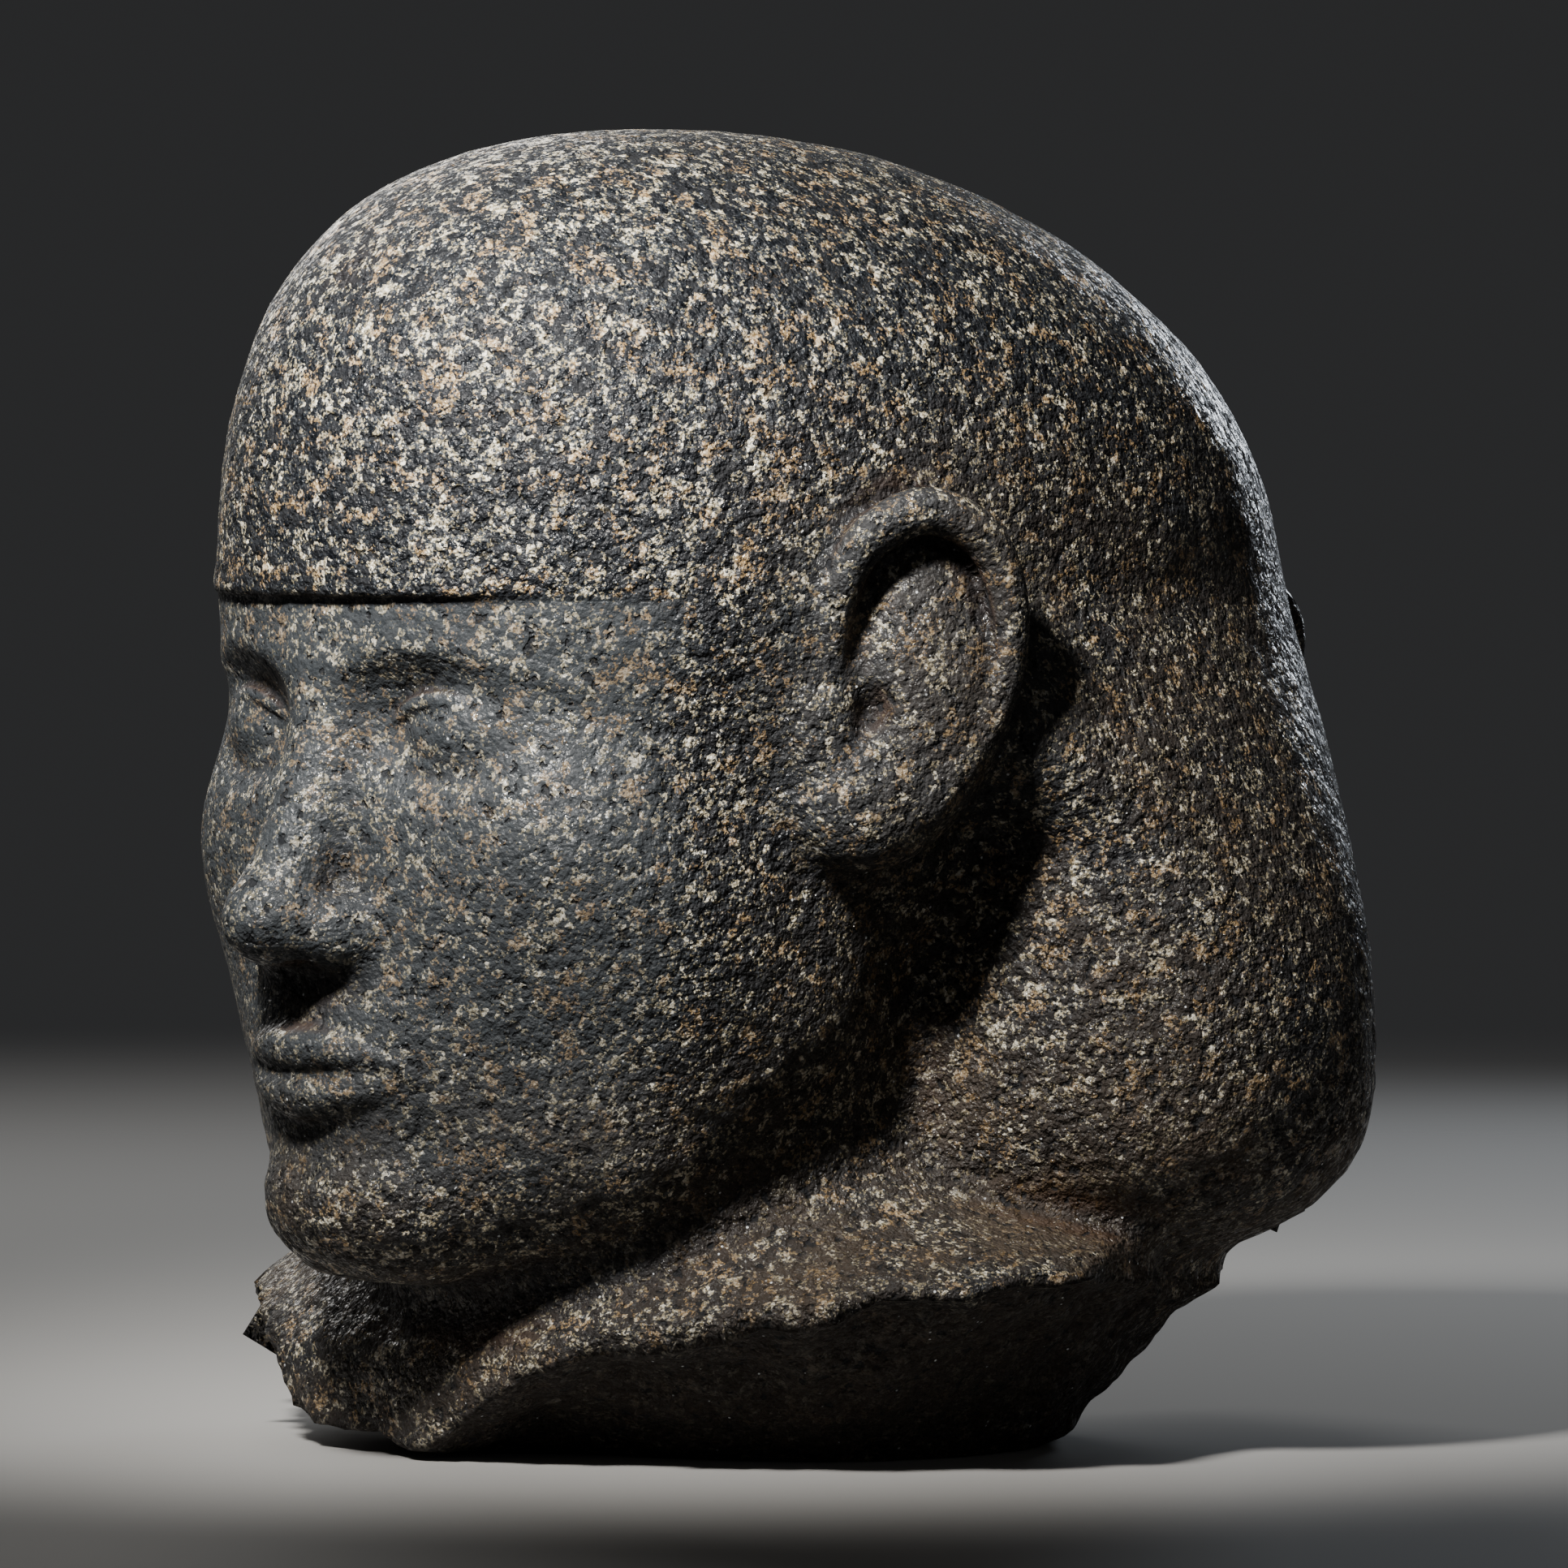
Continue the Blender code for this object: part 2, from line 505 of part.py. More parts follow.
def carved_head():
    """The finished solid, one closed body that stands on its seat with the origin under its middle."""
    head = clay_skin()
    head.name = "granite_head"
    head.data.name = "granite_head"
    for step, rounds in ((3.0 * SKIN_STEP, 4), (1.4 * SKIN_STEP, 3), (SKIN_STEP, 5)):
        remesh(head, step)
        draw_onto_form(head, rounds)
    ease_broken_edge(head)
    plain_stone = mark_fine_carving(head)
    thin = head.modifiers.new("fewer_faces", "DECIMATE")
    thin.vertex_group = plain_stone
    thin.vertex_group_factor = FINE_SHARE
    head.data.calc_loop_triangles()
    thin.ratio = FACES_KEPT / len(head.data.loop_triangles)
    bake_modifiers(head)
    level_seat(head)
    head.data.transform(Matrix.Scale(SQUARE, 4))
    corners = np.array([vertex.co for vertex in head.data.vertices])
    middle = (corners.min(axis=0) + corners.max(axis=0)) / 2.0
    head.data.transform(Matrix.Translation((-middle[0], -middle[1], 0.0)))
    return head


def granite():
    """Dark speckled granite, here as one plain tone."""
    stone = bpy.data.materials.new("granite")
    stone.use_nodes = True
    shader = stone.node_tree.nodes["Principled BSDF"]
    shader.inputs["Base Color"].default_value = GRANITE
    shader.inputs["Roughness"].default_value = 0.55
    shader.inputs["Metallic"].default_value = 0.0
    return stone


def main():
    for item in list(bpy.data.objects):
        bpy.data.objects.remove(item)
    head = carved_head()
    head.data.materials.clear()
    head.data.materials.append(granite())
    head.data.shade_smooth()
    head.data.set_sharp_from_angle(angle=math.radians(35.0))


main()
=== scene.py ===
"""Looks of the granite head: its carved surface, its speckled stone, and the plain stage it stands on.

The head faces -Y and its own left side is +X. Its form is worked out in squares of the carver's grid, 280 of
them to the head's height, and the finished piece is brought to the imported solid's size and place.
"""

import logging
import math
from dataclasses import dataclass, field
from enum import Enum

import bmesh
import bpy
import numpy as np
from mathutils import Euler, Matrix, Vector


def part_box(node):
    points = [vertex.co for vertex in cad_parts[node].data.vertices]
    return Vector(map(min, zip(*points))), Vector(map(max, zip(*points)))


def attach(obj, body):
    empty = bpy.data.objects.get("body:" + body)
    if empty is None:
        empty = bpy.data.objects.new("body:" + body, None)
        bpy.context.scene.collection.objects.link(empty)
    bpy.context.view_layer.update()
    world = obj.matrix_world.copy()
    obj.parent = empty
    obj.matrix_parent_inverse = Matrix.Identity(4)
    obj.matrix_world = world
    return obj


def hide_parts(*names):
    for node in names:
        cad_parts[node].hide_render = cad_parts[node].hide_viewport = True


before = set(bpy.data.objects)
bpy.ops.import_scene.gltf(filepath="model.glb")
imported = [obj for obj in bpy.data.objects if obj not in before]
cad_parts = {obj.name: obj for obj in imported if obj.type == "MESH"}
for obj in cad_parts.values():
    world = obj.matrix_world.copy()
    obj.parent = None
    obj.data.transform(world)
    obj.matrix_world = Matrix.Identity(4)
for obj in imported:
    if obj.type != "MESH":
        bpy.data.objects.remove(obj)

log = logging.getLogger("granite_head")

GRID_SQUARES = 280.0
STONE_NODE = "granite_head"

MARKS = ("hollow", "creased", "broken", "face", "polished", "patina_and_low_shade")

Triple = tuple[float, float, float]
NO_TURN: Triple = (0.0, 0.0, 0.0)


# Forms: each function gives the distance from every point to a shape, negative inside it


def length(vectors: np.ndarray) -> np.ndarray:
    """The length of each row."""
    return np.sqrt((vectors * vectors).sum(axis=1))


def blend(first: np.ndarray, second: np.ndarray, soft: float | np.ndarray) -> np.ndarray:
    """Joins two shapes.

    Args:
        first: Distances to one shape.
        second: Distances to the other.
        soft: About how wide the fillet between them is.

    Returns:
        Distances to both shapes as one.
    """
    share = np.clip(0.5 + 0.5 * (second - first) / soft, 0.0, 1.0)
    return second * (1.0 - share) + first * share - soft * share * (1.0 - share)


def carve(shape: np.ndarray, cutter: np.ndarray, soft: float | np.ndarray) -> np.ndarray:
    """The shape with the cutter's space taken out of it, its edge eased by about soft."""
    return -blend(-shape, cutter, soft)


def ramp(low: float, high: float, value: np.ndarray) -> np.ndarray:
    """0 at low and 1 at high, with a smooth rise between them."""
    share = np.clip((value - low) / (high - low), 0.0, 1.0)
    return share * share * (3.0 - 2.0 * share)


def ellipsoid(points: np.ndarray, centre: Triple, radii: Triple, turn: Triple = NO_TURN) -> np.ndarray:
    """Distance to an ellipsoid, turned by degrees about its own X, Y and Z."""
    local = points - np.array(centre)
    if any(turn):
        local = local @ np.array(Euler([math.radians(angle) for angle in turn]).to_matrix())
    inner = length(local / np.array(radii))
    outer = length(local / np.array(radii) ** 2)
    return inner * (inner - 1.0) / np.maximum(outer, 1e-6)


def squared_ball(points: np.ndarray, centre: Triple, radii: Triple, power: float) -> np.ndarray:
    """Distance along the radius to an ellipsoid with fuller corners."""
    local = points - np.array(centre)
    ratio = (np.abs(local / np.array(radii)) ** power).sum(axis=1) ** (1.0 / power)
    return length(local) * (1.0 - 1.0 / np.maximum(ratio, 1e-6))


def tube(points: np.ndarray, route: np.ndarray, radii: np.ndarray) -> np.ndarray:
    """Distance to a tube through the route's points, with a radius at each point."""
    nearest = np.full(len(points), 1e9)
    route = np.asarray(route, dtype=float)
    for start, end, thick, thin in zip(route, route[1:], radii, radii[1:]):
        along = end - start
        share = np.clip(((points - start) @ along) / (along @ along), 0.0, 1.0)
        reach = length(points - start - share[:, None] * along) - (thick + (thin - thick) * share)
        nearest = np.minimum(nearest, reach)
    return nearest


def smooth_route(stations: tuple, count: int) -> np.ndarray:
    """A smooth curve through stations.

    Args:
        stations: Rows of three places and a radius.
        count: How many points the curve gets.

    Returns:
        Rows of three places and a radius, evenly spread along the stations.
    """
    rows = np.array(stations, dtype=float)
    padded = np.vstack([2.0 * rows[0] - rows[1], rows, 2.0 * rows[-1] - rows[-2]])
    made = []
    for place in np.linspace(0.0, len(rows) - 1.0001, count):
        start = int(place)
        share = place - start
        before, first, second, after = padded[start : start + 4]
        bend = 2.0 * first + (second - before) * share
        bend += (2.0 * before - 5.0 * first + 4.0 * second - after) * share**2
        bend += (3.0 * first - before - 3.0 * second + after) * share**3
        made.append(bend / 2.0)
    return np.array(made)


def curved_tube(points: np.ndarray, stations: tuple, count: int = 16) -> np.ndarray:
    """Distance to a tube along a smooth curve through stations of three places and a radius."""
    route = smooth_route(stations, count)
    return tube(points, route[:, :3], route[:, 3])


def lattice_noise(points: np.ndarray, size: float, seed: int) -> np.ndarray:
    """Smooth noise between -1 and 1 on a lattice of that size, the same on every run."""
    scaled = points / size
    corner = np.floor(scaled).astype(np.int64)
    share = scaled - corner
    share = share * share * (3.0 - 2.0 * share)
    total = np.zeros(len(points))
    for step in np.ndindex(2, 2, 2):
        cell = corner + np.array(step)
        key = (cell[:, 0] * 73856093) ^ (cell[:, 1] * 19349663) ^ (cell[:, 2] * 83492791) ^ (seed * 2654435)
        key = (key ^ (key >> 13)) * 1274126177 & 0x7FFFFFFF
        value = ((key ^ (key >> 15)) & 0xFFFF) / 32767.5 - 1.0
        weight = np.prod(np.where(np.array(step) == 1, share, 1.0 - share), axis=1)
        total += value * weight
    return total


def folded_left(points: np.ndarray) -> np.ndarray:
    """The points folded onto the head's left half, because the carving is the same on both sides."""
    folded = points.copy()
    folded[:, 0] = np.abs(folded[:, 0])
    return folded


@dataclass
class BagWig:
    """The plain wig: a dome above the ears that runs into a bag behind them, all in squares."""

    dome_z: float = 181.0
    dome_rise: float = 99.0
    edge_z: float = 182.0
    thickness: float = 2.4
    dome_half_width: float = 84.0
    bag_half_width: float = 128.0
    dome_front_y: float = -134.0
    dome_back_y: float = 113.0
    bag_front_y: float = -28.0
    bag_back_y: float = 99.5
    bag_middle_y: float = 28.0
    bag_round_z: float = 85.0
    bag_round_depth: float = 52.0
    ear_bay_y: float = -37.0
    temple_half_width: float = 91.5
    power: float = 2.25

    def crown_shift(self, rise: np.ndarray) -> np.ndarray:
        """How far the wig's middle has moved forward at that share of the dome's height."""
        return -27.0 * rise**1.8

    def whole(self, points: np.ndarray) -> np.ndarray:
        """Distance to the wig as one swelling form, before the face is opened in it."""
        x, y, z = points.T
        rise = np.clip((z - self.dome_z) / self.dome_rise, 0.0, 1.3)
        fall = np.clip((self.bag_round_z - z) / self.bag_round_depth, 0.0, 1.6)
        dome_middle = (self.dome_front_y + self.dome_back_y) / 2.0
        widening = ramp(215.0, self.bag_round_z, z)
        half_width = self.dome_half_width + (self.bag_half_width - self.dome_half_width) * widening
        middle = dome_middle + (self.bag_middle_y - dome_middle) * ramp(198.0, 98.0, z)
        front = self.dome_front_y + (self.bag_front_y - self.dome_front_y) * ramp(182.0, 128.0, z)
        back = self.dome_back_y + (self.bag_back_y - self.dome_back_y) * ramp(165.0, self.bag_round_z, z)
        along = y - middle - self.crown_shift(rise)
        up = np.maximum(z - self.dome_z, 0.0) + np.minimum(z - self.bag_round_z, 0.0)
        half_depth = np.where(along > 0.0, back - middle, middle - front)
        ratio = np.abs(x / half_width) ** self.power + np.abs(along / half_depth) ** self.power
        ratio = (ratio + rise**self.power + fall**3.0) ** (1.0 / self.power)
        return np.sqrt(x * x + along * along + up * up) * (1.0 - 1.0 / np.maximum(ratio, 1e-6))

    def bare_dome(self, points: np.ndarray) -> np.ndarray:
        """Distance to the forehead and temples, just under the wig's surface."""
        x, y, z = points.T
        rise = np.clip((z - self.dome_z) / self.dome_rise, 0.0, 1.3)
        along = y - (self.dome_front_y + self.dome_back_y) / 2.0 - self.crown_shift(rise)
        depth = (self.dome_back_y - self.dome_front_y) / 2.0 - self.thickness
        sideways = (x / self.temple_half_width) ** 2
        sideways = sideways / np.maximum(sideways + (along / depth) ** 2, 1e-6)
        up = z - self.dome_z
        drop = np.where(up > 0.0, self.dome_rise - self.thickness, 48.0 + 24.0 * sideways)
        ratio = np.abs(x / self.temple_half_width) ** self.power + np.abs(along / depth) ** self.power
        ratio = (ratio + np.abs(up / drop) ** self.power) ** (1.0 / self.power)
        return np.sqrt(x * x + along * along + up * up) * (1.0 - 1.0 / np.maximum(ratio, 1e-6))

    def put_on(self, bare: np.ndarray, points: np.ndarray) -> np.ndarray:
        """The bare head with the wig on it, cut level over the brow and open round the ears."""
        side = ramp(40.0, 66.0, np.abs(points[:, 0]))
        bay = np.maximum(points[:, 1] - self.ear_bay_y, points[:, 2] - (self.edge_z - 2.0 * side))
        covered = carve(self.whole(points), bay, 1.0 + 11.0 * side)
        fade = ramp(172.0, 148.0, points[:, 2])
        return blend(bare, covered, 0.6 + 1.2 * side + 8.0 * side * fade)


@dataclass
class CalmFace:
    """A face on the sculptor's canon: the skull is three and a half units high, and the brow, the nose and
    the mouth stand at two, one and two thirds of a unit above the chin. All in squares."""

    chin_z: float = 40.0
    skull_top_z: float = 268.0
    eye_width: float = 30.0
    eye_x: float = 31.0
    unit: float = field(init=False)
    brow_z: float = field(init=False)
    eye_z: float = field(init=False)
    nose_base_z: float = field(init=False)
    mouth_z: float = field(init=False)

    def __post_init__(self) -> None:
        """Works the heights out from the canon."""
        self.unit = (self.skull_top_z - self.chin_z) / 3.5
        self.brow_z = self.chin_z + 2.0 * self.unit
        self.eye_z = self.chin_z + 1.75 * self.unit
        self.nose_base_z = self.chin_z + self.unit
        self.mouth_z = self.nose_base_z - self.unit / 3.0

    def skull(self, points: np.ndarray, dome: np.ndarray) -> np.ndarray:
        """Cheeks, jaw and chin, joined to the dome of the forehead and without the features."""
        folded = folded_left(points)
        face = squared_ball(points, (0.0, -62.0, 120.0), (71.0, 68.0, 84.0), 2.3)
        side = squared_ball(points, (0.0, -30.0, 142.0), (81.0, 62.0, 56.0), 2.3)
        cheek = ellipsoid(folded, (42.0, -92.0, 130.0), (26.0, 25.0, 25.0))
        fullness = ellipsoid(folded, (49.0, -72.0, 110.0), (25.0, 31.0, 32.0))
        chin = ellipsoid(points, (0.0, -112.0, self.chin_z + 15.0), (25.0, 22.0, 15.0))
        jaw_route = ((10.0, -109.0, 57.0), (41.0, -82.0, 70.0), (56.0, -52.0, 94.0))
        jaw = tube(folded, np.array(jaw_route), np.array((15.5, 18.0, 15.0)))
        parts = ((face, 16.0), (side, 20.0), (cheek, 18.0), (fullness, 14.0), (jaw, 18.0), (chin, 12.0))
        shape = dome
        for part, soft in parts:
            shape = blend(shape, part, soft)
        return shape

    def brows(self, shape: np.ndarray, points: np.ndarray) -> np.ndarray:
        """Low brow bands that follow the upper edge of the sockets."""
        share = np.linspace(0.0, 1.0, 12)
        across = 9.0 + 49.0 * share
        depth = -125.5 + 20.5 * share**2.2
        height = self.brow_z - 4.0 + 6.0 * np.sin(math.pi * (0.12 + 0.76 * share)) - 5.0 * share**3
        route = np.stack([across, depth, height], axis=1)
        return blend(shape, tube(points, route, 4.2 - 3.1 * share**1.5), 4.0)

    def eyes(self, shape: np.ndarray, points: np.ndarray) -> np.ndarray:
        """Almond eyes between raised lids, one eye's width apart."""
        turn = (0.0, 0.0, 14.0)
        socket = ellipsoid(points, (self.eye_x, -133.0, self.eye_z + 1.0), (22.0, 14.0, 13.0), turn)
        shape = carve(shape, socket, 7.0)
        ball = ellipsoid(points, (self.eye_x, -108.0, self.eye_z), (18.5, 15.5, 14.0), turn)
        shape = blend(shape, ball, 2.5)
        share = np.linspace(0.0, 1.0, 15)
        across = self.eye_x + (share - 0.5) * (self.eye_width + 3.0)
        depth = -120.5 + 9.0 * share**2
        arch = np.sin(math.pi * share)
        upper = np.stack([across, depth - 3.2 * arch, self.eye_z - 1.0 + 7.8 * arch**0.8], axis=1)
        lower = np.stack([across, depth - 2.4 * arch, self.eye_z - 1.0 - 6.4 * arch**0.9], axis=1)
        shape = blend(shape, tube(points, upper, 1.1 + 1.0 * arch), 1.0)
        return blend(shape, tube(points, lower, 1.0 + 0.5 * arch), 1.0)

    def nose(self, shape: np.ndarray, points: np.ndarray) -> np.ndarray:
        """A straight nose as wide as the space between the eyes."""
        base = self.nose_base_z
        bridge = curved_tube(
            points,
            (
                (0.0, -123.5, self.brow_z - 5.0, 7.5),
                (0.0, -127.0, self.eye_z - 3.0, 7.2),
                (0.0, -133.5, base + 26.0, 8.2),
                (0.0, -138.5, base + 13.0, 9.5),
            ),
        )
        tip = ellipsoid(points, (0.0, -139.0, base + 9.0), (10.5, 12.5, 9.0))
        wing = ellipsoid(points, (11.5, -131.0, base + 7.0), (7.0, 9.5, 7.5), (0.0, 0.0, -12.0))
        shape = blend(shape, bridge, 9.0)
        shape = blend(shape, wing, 5.5)
        shape = blend(shape, tip, 5.0)
        nostril = ellipsoid(points, (6.2, -137.0, base - 1.5), (3.4, 5.2, 3.4), (0.0, 0.0, -14.0))
        return carve(shape, nostril, 1.2)

    def mouth(self, shape: np.ndarray, points: np.ndarray) -> np.ndarray:
        """Full closed lips on a low muzzle, with a soft furrow above them."""
        muzzle = ellipsoid(points, (0.0, -108.0, self.mouth_z + 3.0), (31.0, 25.5, 23.0))
        shape = blend(shape, muzzle, 12.0)
        share = np.linspace(0.0, 1.0, 12)
        across = 26.5 * share
        back = 9.5 * share**2
        upper_z = self.mouth_z + 4.3 - 3.6 * share**1.6 + 0.9 * np.sin(math.pi * share)
        upper = np.stack([across, -133.0 + back, upper_z], axis=1)
        lower = np.stack([across, -131.5 + back, self.mouth_z - 5.0 + 4.6 * share**1.8], axis=1)
        shape = blend(shape, tube(points, upper, 5.2 - 3.9 * share**1.5), 2.0)
        shape = blend(shape, tube(points, lower, 5.6 - 4.2 * share**1.5), 2.0)
        line = np.stack([across * 1.06, -138.5 + back, self.mouth_z - 0.3 + 0.8 * share**2], axis=1)
        shape = carve(shape, tube(points, line, 1.7 - 0.8 * share), 1.0)
        furrow = ((0.0, -139.5, self.nose_base_z - 3.0), (0.0, -141.0, self.mouth_z + 11.0))
        return carve(shape, tube(points, np.array(furrow), np.array((2.2, 2.8))), 2.5)

    def features(self, shape: np.ndarray, points: np.ndarray, edge_z: float) -> np.ndarray:
        """Carves brows, eyes, nose and mouth on the points near them, and fades out under the wig's edge."""
        folded = folded_left(points)
        near = (folded[:, 1] < -84.0) & (folded[:, 2] < 196.0) & (folded[:, 2] > 30.0)
        part, places = shape[near], folded[near]
        for carving in (self.brows, self.eyes, self.nose, self.mouth):
            part = carving(part, places)
        shape = shape.copy()
        shape[near] += (part - shape[near]) * ramp(edge_z - 1.0, edge_z - 8.0, places[:, 2])
        return shape


@dataclass
class Ears:
    """Large ears that stand off the head, in squares and degrees, in the left ear's own directions."""

    middle: Triple = (94.0, -43.0, 164.0)
    lean_back: float = 8.5
    lean_out: float = 6.0
    flare: float = 28.0

    def axes(self) -> np.ndarray:
        """The left ear's own directions back, up and out."""
        turns = (self.lean_back, self.lean_out, self.flare)
        lean_back, lean_out, flare = (math.radians(angle) for angle in turns)
        up = Vector((math.sin(lean_out), math.sin(lean_back), math.cos(lean_back))).normalized()
        back = Vector((math.sin(flare), math.cos(flare), 0.0))
        back = (back - up * back.dot(up)).normalized()
        return np.array([back, up, back.cross(up)])

    def local(self, points: np.ndarray) -> np.ndarray:
        """The points in the left ear's own directions."""
        return (folded_left(points) - np.array(self.middle)) @ self.axes().T

    def carved(self, shape: np.ndarray, points: np.ndarray) -> np.ndarray:
        """Adds a thick rim, a hollow under it, a raised inner leaf and a heavy lobe to both sides."""
        local = self.local(points)
        near = length(local) < 60.0
        local = local[near]
        ear = carve(shape[near], ellipsoid(local, (3.0, 0.0, 12.0), (27.0, 46.0, 12.0)), 8.0)
        block = ellipsoid(local, (-1.0, 2.0, -10.0), (19.0, 37.0, 12.5), (0.0, 0.0, 8.0))
        ear = blend(ear, block, 5.0)
        groove = (
            (-13.0, -9.0, 4.0, 4.6),
            (-15.0, 4.0, 4.0, 4.8),
            (-14.0, 17.0, 4.0, 5.0),
            (-8.0, 27.0, 4.0, 4.8),
            (2.0, 28.5, 4.5, 3.8),
            (10.0, 20.0, 5.5, 2.6),
        )
        ear = carve(ear, curved_tube(local, groove, 18), 2.0)
        leaf = ellipsoid(local, (1.5, -1.0, -5.5), (14.0, 25.0, 9.5), (0.0, 0.0, 10.0))
        ear = blend(ear, leaf, 3.0)
        back_leaf = ellipsoid(local, (6.0, -7.0, -5.5), (12.0, 24.0, 9.0), (0.0, 0.0, -6.0))
        ear = blend(ear, back_leaf, 4.0)
        bowl = ellipsoid(local, (-11.0, -9.0, 3.0), (4.5, 7.0, 6.0), (0.0, 0.0, -10.0))
        ear = carve(ear, bowl, 2.5)
        lobe = ellipsoid(local, (-7.0, -27.0, -3.0), (13.5, 13.0, 8.5), (0.0, 0.0, -20.0))
        ear = blend(ear, lobe, 8.0)
        rim = (
            (-20.0, 2.0, -1.0, 2.5),
            (-21.5, 14.0, 0.0, 4.0),
            (-18.5, 26.0, 1.0, 4.8),
            (-9.0, 34.5, 1.5, 5.0),
            (1.0, 34.5, 1.5, 4.8),
            (10.0, 28.0, 1.0, 4.4),
            (15.5, 15.0, 0.5, 4.0),
            (16.0, 1.0, 0.0, 3.8),
            (12.5, -12.0, -0.5, 4.0),
            (5.0, -24.0, -1.0, 5.0),
        )
        ear = blend(ear, curved_tube(local, rim, 30), 2.5)
        tragus = ellipsoid(local, (-19.5, -11.0, -3.0), (5.0, 9.0, 5.0))
        shape = shape.copy()
        shape[near] = blend(ear, tragus, 6.0)
        return shape


@dataclass
class BackPillar:
    """The back pillar behind the wig, with a sloped and worn top, in squares."""

    width: float = 64.0
    back_y: float = 123.5
    top_z: float = 187.0

    def distance(self, points: np.ndarray) -> np.ndarray:
        """Distance to the pillar."""
        side = np.abs(points[:, 0]) - self.width / 2.0
        back = points[:, 1] - self.back_y
        slope = 0.86 * (points[:, 2] - self.top_z) + 0.5 * (back + 12.0)
        shape = -blend(-side, -back, 5.0)
        shape = -blend(-shape, -slope, 10.0)
        return np.maximum(shape, 40.0 - points[:, 1])


@dataclass
class BrokenNeck:
    """The neck, the stumps of the shoulders and the break under them, in squares and degrees."""

    angles: tuple = (0.0, 17.0, 40.0, 52.0, 59.0, 75.0, 95.0, 125.0, 150.0, 180.0)
    rim_left: tuple = (2.0, 19.0, 30.0, 34.0, 40.0, 42.0, 42.0, 40.0, 39.0, 40.0)
    rim_right: tuple = (2.0, 6.0, 12.0, 16.0, 19.0, 23.0, 30.0, 37.0, 39.0, 40.0)
    stump: tuple = (-102.0, -42.0, 50.0, 120.0)
    dish: tuple = (-103.0, -8.0, 90.0, 124.0)
    flat_share: float = 0.47
    seat_depth: float = 4.0

    def reach(self, points: np.ndarray, outline: tuple) -> np.ndarray:
        """How far out a point lies in plan: 0 at the middle and 1 on a rounded outline."""
        front_y, middle_y, back_y, half_width = outline
        along = points[:, 1] - middle_y
        depth = np.where(along > 0.0, back_y - middle_y, middle_y - front_y)
        return ((np.abs(points[:, 0]) / half_width) ** 2.3 + (np.abs(along) / depth) ** 2.3) ** (1.0 / 2.3)

    def neck(self, points: np.ndarray) -> np.ndarray:
        """Distance to the neck and the broken stumps of the shoulders under it."""
        column = squared_ball(points, (0.0, -21.0, 60.0), (65.0, 57.0, 120.0), 2.6)
        shoulders = squared_ball(points, (0.0, 8.0, -4.0), (158.0, 116.0, 66.0), 2.2)
        rough = 2.4 * lattice_noise(points, 22.0, 3) + 1.6 * lattice_noise(points, 10.0, 5)
        wall = 90.0 * (1.0 - self.reach(points, self.stump)) + rough
        stumps = carve(blend(column, shoulders, 30.0), wall, 4.0)
        nape = squared_ball(points, (0.0, 20.0, 32.0), (90.0, 54.0, 42.0), 2.6)
        return blend(stumps, nape, 4.0)

    def underside(self, points: np.ndarray) -> np.ndarray:
        """The break: a rough face that rises from the seat to a ragged rim. Negative above the face."""
        x, y, z = points.T
        angle = np.degrees(np.arctan2(np.abs(x), -y))
        left, right = (np.interp(angle, self.angles, rim) for rim in (self.rim_left, self.rim_right))
        rough = 2.6 * lattice_noise(points, 21.0, 13) + 1.5 * lattice_noise(points, 9.0, 17)
        out = self.reach(points, self.dish)
        share = np.clip((out - self.flat_share) / (0.98 - self.flat_share), 0.0, 1.0)
        share = 0.35 * share + 0.65 * ramp(0.0, 0.8, share)
        level = (np.where(x > 0.0, left, right) + self.seat_depth) * share - self.seat_depth
        return level + rough * ramp(1.0, 6.0, level) - z


@dataclass
class HeadForm:
    """The whole carved form."""

    wig: BagWig = field(default_factory=BagWig)
    face: CalmFace = field(default_factory=CalmFace)
    ears: Ears = field(default_factory=Ears)
    pillar: BackPillar = field(default_factory=BackPillar)
    neck: BrokenNeck = field(default_factory=BrokenNeck)

    def distance(self, points: np.ndarray) -> np.ndarray:
        """Distance from each point to the carved head: negative in the stone."""
        bare = self.face.skull(points, self.wig.bare_dome(points))
        bare = blend(bare, self.neck.neck(points), 14.0)
        bare = self.face.features(bare, points, self.wig.edge_z)
        shape = self.wig.put_on(bare, points)
        shape = self.ears.carved(shape, points)
        shape = blend(shape, self.pillar.distance(points), 2.5)
        return -blend(-shape, -self.neck.underside(points), 1.0)

    def slope(self, points: np.ndarray, here: np.ndarray, step: float = 0.15) -> np.ndarray:
        """How the distance grows along X, Y and Z at each point."""
        made = np.empty_like(points)
        for axis in range(3):
            moved = points.copy()
            moved[:, axis] += step
            made[:, axis] = (self.distance(moved) - here) / step
        return made


class Skin(Enum):
    """The rounds that bring the clay skin to the form: the size of its squares and the number of draws."""

    ROUGH = (4.8, 4)
    CLOSER = (2.8, 3)
    FINE = (1.95, 5)


